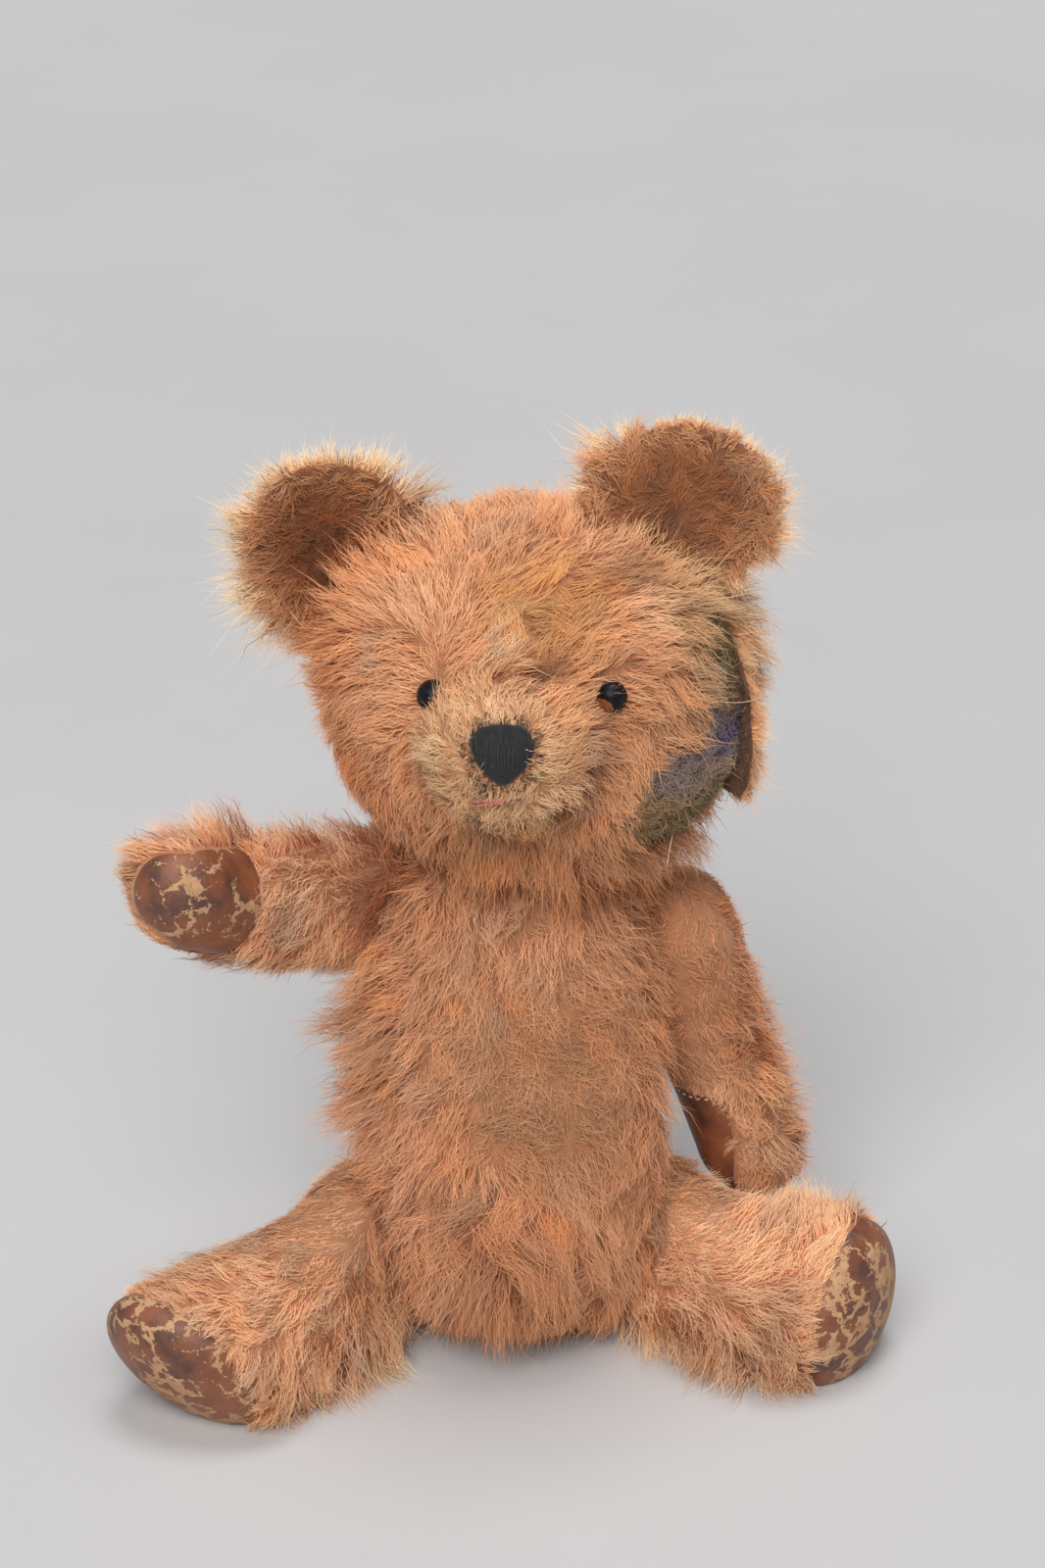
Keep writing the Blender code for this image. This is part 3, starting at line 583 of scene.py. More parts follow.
def grow(roots, normals, comb, length, lift, hug, steps=6):
    """Guide hairs that leave the skin, then lie along it in the way they are combed. Hair with a low hug
    stands out past the edge of its cover."""
    spots, path = roots.copy(), [roots]
    for step in range(steps):
        share = (step + 1) / steps
        height, up = FIELD(spots)
        up = np.where(step == 0, normals, up)
        wanted = lift * length * (1 - (1 - share) ** 2)
        rise = np.clip((wanted - height) / (length / steps), -PRESS_IN * hug, STEEPEST_RISE)
        flat = comb - up * (np.einsum("ij,ij->i", comb, up) * hug)[:, None]
        way = unit(unit(flat) + up * rise[:, None])
        # hair that meets the floor spreads out over it
        landed = (spots[:, 2] < LANDING) & (way[:, 2] < 0)
        way[:, 2] = np.where(landed, 0.0, way[:, 2])
        way = unit(way + landed[:, None] * LANDED_SPREAD * normals * np.array((1, 1, 0)))
        spots = spots + way * (length / steps)[:, None]
        path.append(spots)
    return np.stack(path, 1)


def nearest(points, centres):
    tree = KDTree(len(centres))
    for i, centre in enumerate(centres):
        tree.insert(centre, i)
    tree.balance()
    return np.array([tree.find(p)[1] for p in points], int)


def around(normals, vectors, angles):
    """Vectors turned about normals by angles."""
    c, s = np.cos(angles)[:, None], np.sin(angles)[:, None]
    along = np.einsum("ij,ij->i", normals, vectors)[:, None]
    return vectors * c + np.cross(normals, vectors) * s + normals * along * (1 - c)


QUICK = 1.0
# how strands draw together, swing and bend, and how they are shaded
PULL_TO_TUFT, PULL_TO_LOCK = 1.1, 0.9
SWING = 0.06
KINK = 0.5
LOOSE_FRIZZ = 2.6
TAPER = ((0, 0.35, 1), (0.85, 1.0, 0.12))
RIBBON_SHADE = 0.32
EDGE_GLOW = 0.45
TOWARDS_LIGHT = np.array((-0.13, -0.75, 0.65))
FLOOR_CLEARANCE = 0.25 * MM


class Coat:
    """Strands of fur, gathered before they become one mesh per piece. They grow in tufts, and tufts in
    locks."""

    def __init__(self):
        self.paths, self.sides, self.colours, self.normals = [], [], [], []

    def add(self, roots, normals, style, seed, per_lock=100, per_tuft=13, points=4):
        """Grows strands from roots, styled by style(points, normals) as plain_style does."""
        rng = np.random.default_rng(seed)
        count = len(roots)
        locks = rng.choice(count, max(count // per_lock, 1), replace=False)
        tufts = rng.choice(count, max(count // per_tuft, 1), replace=False)
        lock_of_tuft = nearest(roots[tufts], roots[locks])
        tuft_of = nearest(roots, roots[tufts])
        wide, own = style(roots[locks], normals[locks]), style(roots[tufts], normals[tufts])
        guides = self.guides(roots[tufts], normals[tufts], wide["stray"], own, lock_of_tuft, rng)
        own = {key: value[tuft_of] for key, value in own.items()}
        path = self.strands(roots, roots[tufts][tuft_of], roots[locks][lock_of_tuft][tuft_of],
                            guides, own, tuft_of, points, rng)
        side, facing = self.ribbons(path, normals, own, rng)
        self.paths.append(path)
        self.sides.append(side)
        self.normals.append(facing)
        self.colours.append(self.tints(len(locks), lock_of_tuft, tuft_of, own, points, rng))

    def grow_on(self, skin, count, weight, seed, style, per_lock=100, per_tuft=13, towards=None):
        """Grows count strands on a skin, fewer when quick. More of them grow where weight is higher, and
        they grow to the side that faces towards, if it is given."""
        roots, normals = scatter(skin, int(count * QUICK), weight, seed)
        if towards is not None:
            normals = normals * np.sign(normals @ towards)[:, None]
        self.add(roots, normals, style, seed + 1, per_lock, per_tuft)

    def guides(self, roots, normals, stray, own, lock_of_tuft, rng):
        """One hair per tuft. Each lock leans its own way, and its tufts nearly follow."""
        turn = rng.normal(0, 1, len(stray)) * stray
        size = rng.uniform(0.72, 1.3, len(stray))
        raised = rng.uniform(0.75, 1.3, len(stray))
        angle = turn[lock_of_tuft] + rng.normal(0, 0.4, len(roots)) * own["stray"]
        comb = around(normals, unit(own["comb"]), angle)
        length = own["length"] * size[lock_of_tuft] * rng.uniform(0.85, 1.12, len(roots))
        lift = own["lift"] * raised[lock_of_tuft] * rng.uniform(0.85, 1.15, len(roots))
        return grow(roots, normals, comb, length, lift, own["hug"])

    def strands(self, roots, tuft_roots, lock_roots, guides, own, tuft_of, points, rng):
        """Strands follow their tuft and draw together towards its tip, and tufts towards their lock."""
        count, tufts = len(roots), len(guides)
        free = rng.random(count) < own["loose"]
        t = np.linspace(0, 1, points)[None, :] * rng.uniform(0.6, 1.08, count)[:, None]
        path = along_path((guides - guides[:, :1])[tuft_of], t)
        clump = np.where(free, 0.0, own["clump"] * rng.uniform(0.7, 1.2, count))[:, None, None]
        share = (np.clip(t, 0, 1) ** 1.4)[..., None]
        path = path + (tuft_roots - roots)[:, None, :] * share * clump * PULL_TO_TUFT
        path = path + (lock_roots - tuft_roots)[:, None, :] * share * clump * PULL_TO_LOCK
        wave_u, wave_v = unit(rng.normal(size=(tufts, 3))), unit(rng.normal(size=(tufts, 3)))
        phase, rate = rng.uniform(0, 7, tufts), rng.uniform(4, 8, tufts)
        angle = (phase[tuft_of][:, None] + rate[tuft_of][:, None] * t)[..., None]
        swing = (own["length"][:, None] * SWING * np.clip(t * 2, 0, 1))[..., None]
        path = path + swing * wave_u[tuft_of][:, None] * np.sin(angle)
        path = path + swing * wave_v[tuft_of][:, None] * np.cos(angle)
        frizz = own["length"] * own["frizz"]
        drift = rng.normal(size=(count, 3)) * (frizz * np.where(free, LOOSE_FRIZZ, 1.0))[:, None]
        kinks = rng.normal(size=(count, points, 3)) * (frizz * KINK)[:, None, None]
        kinks[:, 0] = 0
        path = path + drift[:, None, :] * (t**2)[..., None] + kinks + roots[:, None, :]
        path[..., 2] = np.maximum(path[..., 2], FLOOR_CLEARANCE)
        return path

    def ribbons(self, path, normals, own, rng):
        """Half widths of the flat strands, and the ways they are shaded as if they faced. Thin fur at an
        edge glows through, so it is shaded as if it faced the light."""
        count, points = path.shape[:2]
        along = unit(np.gradient(path, axis=1))
        flat = unit(np.cross(along, normals[:, None]))
        twist = rng.normal(0, 0.35, count)[:, None, None]
        side = flat * np.cos(twist) + np.cross(flat, along) * np.sin(twist)
        width = own["width"] * rng.uniform(0.7, 1.3, count)
        taper = np.interp(np.linspace(0, 1, points), *TAPER)
        facing = unit(np.cross(side, along))
        faced = normals @ TOWARDS_LIGHT
        sideways = smoothstep(faced, -0.5, -0.15) * (1 - smoothstep(faced, 0.1, 0.45))
        glow = (own["glow"] + EDGE_GLOW * sideways * (own["glow"] < 0.4))[:, None, None]
        away = (glow > 0.4) & ((facing.mean(1) @ TOWARDS_LIGHT)[:, None, None] < 0)
        side, facing = np.where(away, -side, side), np.where(away, -facing, facing)
        shade = facing * RIBBON_SHADE + normals[:, None] * (1 - RIBBON_SHADE) * (1 - glow)
        return side * (width[:, None] * taper)[..., None] / 2, unit(shade + TOWARDS_LIGHT * glow)

    def tints(self, locks, lock_of_tuft, tuft_of, own, points, rng):
        """Colours from root to tip, darker at the root as painted shade deep among the strands, and a little
        different from lock to lock, tuft to tuft and hair to hair.
        """
        lock_of, tufts = lock_of_tuft[tuft_of], len(lock_of_tuft)
        tint = rng.normal(1, 0.09, locks)[lock_of] * rng.normal(1, 0.05, tufts)[tuft_of]
        tint = tint * rng.normal(1, 0.07, len(tuft_of))
        warm = rng.normal(0, 0.045, locks)[lock_of]
        tip_share = (np.linspace(0, 1, points) ** 0.75)[None, :, None]
        colour = own["root"][:, None] * (1 - tip_share) + own["tip"][:, None] * tip_share
        colour = colour * tint[:, None, None] * (1 + warm[:, None, None] * np.array((1, 0, -1.2)))
        return np.clip(colour, 0, 1)

    def build(self, name, body, slot, only=None):
        """One mesh of the gathered strands, or of those whose root and shading only(roots, normals) picks."""
        tables = self.paths, self.sides, self.colours, self.normals
        path, side, colour, normal = (np.concatenate(x) for x in tables)
        if only is not None:
            chosen = only(path[:, 0], normal[:, 0])
            path, side, colour, normal = path[chosen], side[chosen], colour[chosen], normal[chosen]
        count, points = path.shape[:2]
        rows = points - 1
        per = 2 * rows + 1
        both = lambda table: np.concatenate([table[:, :-1], table[:, :-1], table[:, -1:]], 1)
        spots = both(path)
        spots[:, :rows] -= side[:, :-1]
        spots[:, rows:-1] += side[:, :-1]
        faces = []
        for k in range(rows - 1):
            faces += [(k, rows + k, rows + k + 1), (k, rows + k + 1, k + 1)]
        faces.append((rows - 1, 2 * rows - 1, 2 * rows))
        faces = (np.array(faces)[None] + (np.arange(count) * per)[:, None, None]).reshape(-1, 3)
        obj = mesh_object(name, spots.reshape(-1, 3), faces, [FUR], body)
        shade = both(normal).reshape(-1, 3).astype(np.float32)
        obj.data.normals_split_custom_set_from_vertices(shade.tolist())
        tint = np.concatenate([both(colour), np.ones((count, per, 1))], 2)
        attribute = obj.data.attributes.new("coat", "FLOAT_COLOR", "POINT")
        attribute.data.foreach_set("color", tint.astype(np.float32).ravel())
        self.map_strands(obj, count, rows)
        return obj

    def map_strands(self, obj, count, rows):
        """A map with one small rectangle for each strand."""
        across = max(int(math.sqrt(count / 3)), 1)
        down = math.ceil(count / across)
        share = np.linspace(0.08, 0.92, rows + 1)
        u = np.concatenate([share[:-1], share[:-1], share[-1:]])
        v = np.concatenate([np.full(rows, 0.15), np.full(rows, 0.85), [0.5]])
        corner = np.arange(count)
        maps = np.stack([(corner % across)[:, None] + u, (corner // across)[:, None] + v], -1)
        maps = maps / np.array((across, down))
        layer = obj.data.uv_layers.new(name="OFBake")
        loops = np.zeros(len(obj.data.loops), np.int32)
        obj.data.loops.foreach_get("vertex_index", loops)
        layer.data.foreach_set("uv", maps.reshape(-1, 2)[loops].astype(np.float32).ravel())


def scatter(skin, count, weight, seed):
    """Random places on a skin, more of them where weight(points, normals) is higher."""
    rng = np.random.default_rng(seed)
    a, b, c = (skin.points[skin.tris[:, k]] for k in range(3))
    size = np.linalg.norm(np.cross(b - a, c - a), axis=1)
    middle = (a + b + c) / 3
    size = size * np.clip(weight(middle, unit(np.cross(b - a, c - a))), 0, None)
    i = rng.choice(len(size), count, p=size / size.sum())
    u, v = rng.random((2, count, 1))
    u, v = np.where(u + v > 1, 1 - u, u), np.where(u + v > 1, 1 - v, v)
    t = skin.tris[i]
    n = skin.normals
    spots = a[i] + u * (b[i] - a[i]) + v * (c[i] - a[i])
    return spots, unit(n[t[:, 0]] * (1 - u - v) + n[t[:, 1]] * u + n[t[:, 2]] * v)


# ---------------------------------------------------------------- where fur grows

def gap_to(points, skins):
    """Distance from points to the nearest of some skins."""
    best = np.full(len(points), 1.0)
    for skin in skins:
        low, high = skin.points.min(0) - 8 * MM, skin.points.max(0) + 8 * MM
        for i in np.nonzero(((points > low) & (points < high)).all(1))[0]:
            best[i] = min(best[i], skin.tree.find_nearest(points[i])[3])
    return best


PAWS = {  # the wrist and the tip of each pad along the arm, half its width, and its middle across
    "right": (-72.5, -123, 18.5, -6),
    "left": (-60, -112, 16, -9),
}
SOLE_OVERHANG = 3.2 * MM


def paw_outline(side):
    """Straight across the wrist and round at the tip, as (y, z) in the arm's frame."""
    wrist, tip, half_width, middle = (value * MM for value in PAWS[side])
    points = [(middle - half_width, wrist), (middle + half_width, wrist)]
    for step in range(17):
        angle = math.pi * step / 16
        reach = (wrist - tip) * (0.35 + 0.65 * math.sin(angle))
        points.append((middle + half_width * math.cos(angle), wrist - reach))
    return np.array(points)


def sole_frame(side):
    """The foot pad's own frame, and its outline there as (x, z), which goes a little round the edge."""
    sign, slump = SIDES[side], SLUMPS[side]
    half_x, half_z, middle_x, middle_z = columns(LEG["stations"], np.array([LEG["length"]]))[0]
    ahead = LEG["length"] - LEG["rear"]
    toe = slumped(side, *(np.array([v]) for v in (ahead, middle_x, middle_z)))[0]
    place = Matrix.Translation(Vector(toe)) @ Matrix.Rotation(sign * slump["bend"], 4, "Z")
    place = place @ Matrix.Rotation(math.atan(slump["lean"]), 4, "X")
    place = place @ Matrix.Rotation(sign * slump["twist"], 4, "Y")
    angle = 2 * np.pi * np.arange(48) / 48
    reach = np.array((half_x, half_z)) + SOLE_OVERHANG
    outline = reach * np.stack([np.cos(angle), np.sin(angle)], 1)
    return SKINS[f"{side}_leg"].frame @ place, outline


def tear_axes():
    back = Vector((0, 0, 1)).cross(TEAR_FACING)
    return SKINS["head"].frame @ Matrix((TEAR_FACING, back, Vector((0, 0, 1)))).transposed().to_4x4()


def in_tear(points, grow_by=0.0):
    q = moved(points, tear_axes().inverted()) / MM
    outline = np.array(TEAR_SHAPE, float)
    outline = outline + unit(outline - outline.mean(0)) * grow_by
    return inside_outline(q[:, 1], q[:, 2], outline) & (q[:, 0] > 20)


def tear_gap(points):
    """How far places lie from the lower front of the tear's edge, in mm."""
    q = moved(points, tear_axes().inverted()) / MM
    edge = np.array(TEAR_SHAPE[2:9], float)
    share = np.linspace(0, 1, 9)[:-1, None, None]
    edge = (edge[:-1] * (1 - share) + edge[1:] * share).reshape(-1, 2)
    far = np.linalg.norm(q[:, None, 1:] - edge[None], axis=2).min(1)
    return np.where(q[:, 0] > 15, far, 50.0)


def free_of(name, points):
    """A weight that fades out where another cover lies against the named one."""
    others = [s for n, s in SKINS.items() if n != name and not n.endswith("_ear")]
    return smoothstep(gap_to(points, others), 1.5 * MM, 4.5 * MM)


# ---------------------------------------------------------------- how fur lies and what colour it is

# fur is darker at the root than at the tip: painted shade deep among the strands
ROOT, TIP = tone(190, 122, 82), tone(252, 190, 142)
VIEW_DIP = math.radians(24)

# places in mm, and the way the fur there is combed: to the bear's left, and down along the view
FLOW = {
    "head": (
        (-10, 10, 293, -.2, -1), (10, 0, 294, .3, -1), (-32, -3, 287, -.6, -.8), (-53, 9, 271, -.8, -.6),
        (-61, 7, 253, -.95, -.3), (-57, 16, 262, -.8, -.6), (-32, -30, 276, -.6, -.5),
        (-42, -33, 264, -.8, 0), (-60, -16, 243, -.95, .15), (-19, -32, 281, .1, -.6),
        (3, -32, 284, .9, -.25), (22, -32, 284, 1, -.1), (-3, -43, 271, .95, .15),
        (-19, -43, 266, .7, .2), (29, -14, 291, .5, -.8), (42, -17, 287, .3, -.95),
        (38, -39, 273, .6, .3), (51, -23, 279, .9, -.2), (70, 16, 261, 1, -.05), (72, -5, 256, .8, .45),
        (51, -37, 266, .7, .4), (55, -41, 250, .4, .6), (40, -49, 241, .6, .5), (51, -44, 239, .95, .15),
        (27, -54, 229, .1, 1), (35, -49, 220, .3, .9), (23, -48, 209, .25, .9), (41, -38, 199, .8, .5),
        (30, -27, 187, .3, .9), (-47, -35, 247, -.7, .3), (-59, -18, 226, -.9, .35),
        (-42, -38, 222, -.5, .8), (-49, -14, 198, -.6, .8), (-33, -37, 204, -.3, 1),
        (-22, -25, 187, 0, 1), (0, -21, 182, 0, 1), (13, -45, 203, .2, 1), (22, -50, 257, .5, -.5),
        (19, -44, 272, .7, -.4),
    ),
    "muzzle": (
        (-27, -65, 237, -.85, -.4), (-22, -59, 253, -.6, -.7), (-8, -63, 258, -.1, -.95),
        (6, -63, 257, .4, -.8), (16, -65, 249, .9, -.2), (13, -74, 236, .8, .3), (5, -79, 235, .5, .5),
        (-17, -76, 234, -.6, .3), (-13, -44, 203, -.2, 1), (0, -46, 205, .2, 1),
    ),
    "torso": (
        (-33, -20, 154, -.35, .9), (-10, -26, 161, 0, 1), (23, -23, 159, .25, .9),
        (-47, -9, 145, -.9, .4), (-52, -4, 126, -1, .2), (-44, -20, 124, -.8, .5),
        (-54, -1, 104, -.9, .4), (-53, -7, 91, -1, .05), (-44, -25, 93, -.5, .8),
        (-27, -32, 123, -.25, .8), (0, -39, 115, .35, .7), (30, -28, 139, .6, .7),
        (40, -15, 152, .75, .5), (46, -18, 117, .5, .9), (23, -39, 96, .2, 1), (-10, -45, 81, -.15, 1),
        (-34, -41, 59, -.45, .9), (-17, -50, 45, -.2, 1), (3, -52, 39, 0, 1), (24, -46, 55, -.1, 1),
        (41, -34, 67, -.1, 1), (14, -47, 18, .05, 1), (-49, -24, 61, -.7, .7), (-21, -38, 10, -.1, 1),
    ),
    "right_arm": (
        (-60, -15, 170, -.9, .35), (-76, -33, 171, -.9, .3), (-76, -30, 154, -.7, .7),
        (-50, -9, 152, -.6, .8), (-92, -21, 187, -.4, -.9), (-106, -34, 194, -.35, -.9),
        (-120, -42, 197, -.8, -.6), (-127, -47, 189, -1, -.1), (-67, 0, 177, -.7, -.4),
        (-93, -35, 152, -.6, .7),
    ),
    "left_arm": (
        (71, -7, 148, .25, 1), (62, -15, 133, -.1, 1), (80, 0, 106, .25, 1), (90, 1, 67, .1, 1),
        (57, -10, 157, .1, .9),
    ),
    "right_leg": (
        (-45, -20, 47, -.7, .6), (-61, -44, 49, -.7, .6), (-77, -61, 48, -.8, .5),
        (-93, -74, 48, -.9, .3), (-110, -73, 49, -.9, .2), (-121, -73, 47, -.9, .1),
        (-60, -63, 33, -.6, .7), (-76, -81, 32, -.7, .5), (-92, -89, 41, -.9, .35),
        (-83, -93, 17, -.85, .35), (-44, -43, 15, -.3, .9), (-63, -59, 6, -.5, .8),
    ),
    "left_leg": (
        (41, -25, 30, .5, .8), (32, -13, 4, .3, .9), (51, -38, 10, .9, .4), (72, -42, 2, .9, .35),
        (78, -57, 30, .95, .2), (58, -43, 33, .9, .25), (78, -45, 46, .7, -.5), (93, -40, 51, .35, -.9),
        (94, -66, 12, .7, .5), (101, -61, 44, .4, -.5),
    ),
}


def spot(x, y, z, radius, **change):
    """A place in mm, and how the fur there differs: added to its measures, or the colours it goes to."""
    return (x, y, z), radius, change


SPOTS = {
    "torso": (
        spot(-50, -4, 134, 24, length=8, lift=0.36), spot(-54, -6, 100, 24, length=6, lift=0.34),
        spot(-52, -10, 72, 22, length=5, lift=0.26), spot(44, -6, 160, 24, length=5, lift=0.2),
        spot(3, -52, 44, 26, length=7, lift=0.12, clump=0.14, stray=0.15, tip=(226, 163, 120)),
        spot(-17, -50, 46, 22, length=5, lift=0.12, clump=0.14, stray=0.15),
        spot(52, -20, 100, 18, length=2, lift=0.1),
        # painted shade: darker fur at the bottom of the torso, where it sits on the floor
        spot(0, -46, 12, 30, root=(150, 90, 58), tip=(212, 150, 108)),
        spot(10, -42, 110, 30, length=-4.5, lift=-0.12, stray=0.9, clump=-0.25, frizz=0.14, loose=0.3,
             root=(178, 118, 80), tip=(216, 160, 118)),
        spot(-46, -24, 70, 26, root=(206, 136, 98), tip=(244, 184, 142)),
        spot(46, 0, 160, 16, root=(176, 108, 72), tip=(210, 148, 108)),
        spot(50, -10, 110, 18, root=(206, 134, 92), tip=(246, 182, 136)),
        spot(0, -38, 6, 26, length=-8, lift=-0.2),
    ),
    "head": (
        spot(-56, 0, 262, 20, length=6, lift=0.2), spot(-52, -22, 212, 30, length=-3.5, lift=-0.2),
        spot(-30, -30, 196, 22, length=-1.5, lift=-0.08),
        spot(6, -38, 276, 20, root=(200, 134, 82), tip=(234, 172, 108), stray=0.25),
        spot(25, -32, 284, 6, tip=(222, 146, 86)), spot(-45, -40, 255, 12, tip=(244, 190, 148)),
        spot(-35, -30, 272, 12, tip=(246, 194, 148)), spot(30, -25, 186, 24, length=6, lift=0.2),
        spot(0, -24, 186, 30, length=6, lift=0.2, root=(192, 120, 78), tip=(240, 168, 118)),
        spot(-26, -24, 190, 20, length=4, lift=0.1),
        spot(55, -28, 268, 16, length=3, lift=0.08, tip=(246, 194, 150)),
        spot(74, 10, 258, 16, length=5, lift=0.1, tip=(250, 200, 142)),
        spot(46, -16, 193, 18, length=9, lift=0.35),
        # painted light: a much lighter patch on the brow under the left ear, lifting the shade that the ear
        # casts there
        spot(60, -10, 270, 26, root=(240, 166, 116), tip=(255, 216, 164)),
        spot(2, -54, 265, 5, root=(120, 70, 42), tip=(168, 110, 72), length=-1),
        spot(10, -55, 262, 5, root=(120, 70, 42), tip=(168, 110, 72), length=-1),
        # painted shade: a dark spot in the groove between the muzzle and the cheek, on the bear's left
        spot(20, -62, 237, 4.5, root=(110, 62, 36), tip=(150, 94, 60), length=-2),
        spot(-10, -72, 224, 5, length=-2.5, lift=-0.1), spot(57, -41, 236, 9, length=5, lift=0.12),
        # painted shade: two more dark spots in that groove between the muzzle and the cheek
        spot(21, -66, 232, 5, root=(96, 50, 30), tip=(134, 80, 52), length=-2),
        spot(14, -66, 222, 5, root=(112, 62, 40), tip=(160, 100, 68)),
        spot(5, -57, 261, 4.5, root=(112, 62, 36), tip=(150, 94, 60), length=-1.5),
        spot(-27, -65, 240, 7, length=4, lift=0.12, tip=(255, 222, 178)),
        spot(-11, -53, 262, 6, length=4, lift=0.14, tip=(250, 206, 158)),
        spot(48, -30, 268, 10, root=(168, 122, 80), tip=(222, 176, 128)),
        spot(36, -24, 286, 8, root=(164, 112, 74), tip=(220, 164, 120)),
        # the first spot below paints shade under the muzzle: darker tips at the chin
        spot(-10, -45, 206, 12, tip=(206, 158, 112)), spot(40, -17, 288, 16, length=4, lift=0.2),
        spot(-34, 4, 290, 13, length=11, lift=0.4, hug=-0.3), spot(14, 2, 296, 10, length=8, lift=0.25),
        # the second spot below is more painted light on the brow under the left ear
        spot(-45, -45, 252, 7, length=1), spot(64, -10, 273, 11, root=(236, 170, 122), tip=(255, 222, 176)),
    ),
    "right_arm": (
        spot(-92, -18, 190, 14, length=5, lift=0.3), spot(-104, -30, 197, 12, length=5, lift=0.3),
        spot(-126, -42, 197, 9, length=7, lift=0.4, tip=(244, 200, 146)),
        spot(-64, -2, 176, 20, length=3, lift=0.16), spot(-88, -34, 152, 18, length=2, lift=0.05),
        spot(-44, -6, 158, 14, root=(160, 94, 62), tip=(202, 130, 92)), spot(-105, -40, 160, 28, lift=-0.2),
        spot(-120, -48, 172, 20, lift=-0.2),
        spot(-70, -27, 168, 14, root=(232, 160, 116), tip=(255, 214, 172)),
    ),
    "left_arm": (
        spot(100, 12, 75, 30, length=6, lift=0.3, hug=-0.4),
        spot(92, 10, 112, 26, length=6, lift=0.4, hug=-0.4),
        spot(78, -2, 68, 26, root=(214, 148, 106), tip=(248, 192, 146)),
        spot(54, -2, 145, 16, length=3, lift=0.1), spot(56, 4, 166, 18, length=-0.3, lift=-0.14),
    ),
    "right_leg": (
        spot(-60, -60, 6, 28, length=6, lift=0.2), spot(-44, -44, 12, 24, length=6, lift=0.2),
        spot(-90, -92, 8, 18, length=3, lift=0.1),
        spot(-112, -96, 26, 14, root=(196, 134, 74), tip=(232, 176, 108)),
        spot(-60, -32, 56, 28, length=-6, lift=-0.24), spot(-112, -74, 54, 18, length=1, lift=0.08),
    ),
    "left_leg": (
        spot(52, -44, 8, 28, length=7, lift=0.25, clump=-0.12), spot(34, -22, 8, 20, length=5, lift=0.15),
        spot(80, -56, 4, 26, length=7, lift=0.25, clump=-0.12),
        spot(56, -28, 52, 26, length=-5.5, lift=-0.2), spot(94, -42, 60, 22, length=5, lift=0.3),
    ),
    "right_ear": (
        # the first two spots are painted shade: very dark fur deep in the ear's hollow
        spot(-56, 12, 276, 14, root=(78, 40, 22), tip=(112, 66, 40)),
        spot(-42, 16, 284, 11, root=(78, 40, 22), tip=(112, 66, 40)), spot(-94, 8, 276, 18, length=5),
        spot(-76, 6, 256, 18, length=8), spot(-28, 16, 306, 15, length=13, lift=0.2),
        spot(-62, 8, 310, 16, length=-2.5),
    ),
    "left_ear": (
        # the first spot is painted shade: dark fur deep in the ear's hollow
        spot(47, -4, 291, 8, root=(92, 50, 28), tip=(120, 74, 46)), spot(84, 0, 292, 18, length=7),
        spot(26, 4, 318, 10, length=12, lift=0.1), spot(52, 4, 322, 16, length=-1),
    ),
}


def flow(name, points, fallback, reach=14.0):
    """The way fur is combed: as in the nearest rows of FLOW, and the fallback far from them."""
    rows = np.array(FLOW[name], float)
    near = np.exp(-((points[:, None] / MM - rows[None, :, :3]) ** 2).sum(2) / (2 * reach**2))
    ways = np.stack([rows[:, 3], -rows[:, 4] * math.sin(VIEW_DIP), -rows[:, 4] * math.cos(VIEW_DIP)], 1)
    return near @ unit(ways) + unit(fallback) * 0.12


def lerp(a, b, share):
    """From a to b, which are colours or rows, by a share for each point."""
    return np.asarray(a) + (np.asarray(b) - np.asarray(a)) * share[:, None]


PLAIN = {
    "length": 12.5, "lift": 0.38, "clump": 0.38, "stray": 0.34, "frizz": 0.10, "width": 0.28, "hug": 0.88,
    "loose": 0.2, "glow": 0.12, "root": ROOT, "tip": TIP,
}
COLOURS = ("root", "tip")
MUZZLE_FUR = (-7, -66, -1), 25, 0.22


def plain_style(points, comb, name="", **changes):
    """How the fur lies at points: the way it is combed and its length in mm, its lift off the skin, how
    it clumps, strays from its comb, frizzes and hugs the skin, its width in mm, the share of loose hairs,
    how it glows at an edge, and its root and tip colours. The spots of the named cover change it."""
    made = {}
    for key, value in {**PLAIN, **changes}.items():
        shape = (len(points), 3) if key in COLOURS else len(points)
        made[key] = np.broadcast_to(np.asarray(value, float), shape)
    for centre, radius, change in SPOTS.get(name, ()):
        share = blob(points, centre, radius, 0.6)
        for key, value in change.items():
            made[key] = lerp(made[key], tone(*value), share) if key in COLOURS else made[key] + value * share
    patch, fine = wobble(points, 60 * MM, 5), wobble(points, 17 * MM, 6)
    shade = (1 + 0.05 * patch + 0.05 * fine)[:, None]
    made["root"], made["tip"] = made["root"] * shade, made["tip"] * shade
    made["clump"], made["lift"] = np.clip(made["clump"], 0.05, 0.7), np.clip(made["lift"], 0.08, 0.8)
    made["length"] = np.maximum(made["length"], 1.5) * MM
    made["width"] = made["width"] * MM
    made["comb"] = comb
    return made


def torso_style(points, normals):
    q = points / MM
    low = smoothstep(-q[:, 2], -62, -20)
    comb = flow("torso", points, np.stack([0.3 * q[:, 0] / 50, 0 * low, 0 * low - 1], 1))
    return plain_style(points, comb, "torso", length=12.0 + 2.0 * low, loose=0.24, frizz=0.11, width=0.27,
                       clump=0.34 + 0.2 * low, root=tone(186, 120, 82), tip=tone(247, 185, 139))


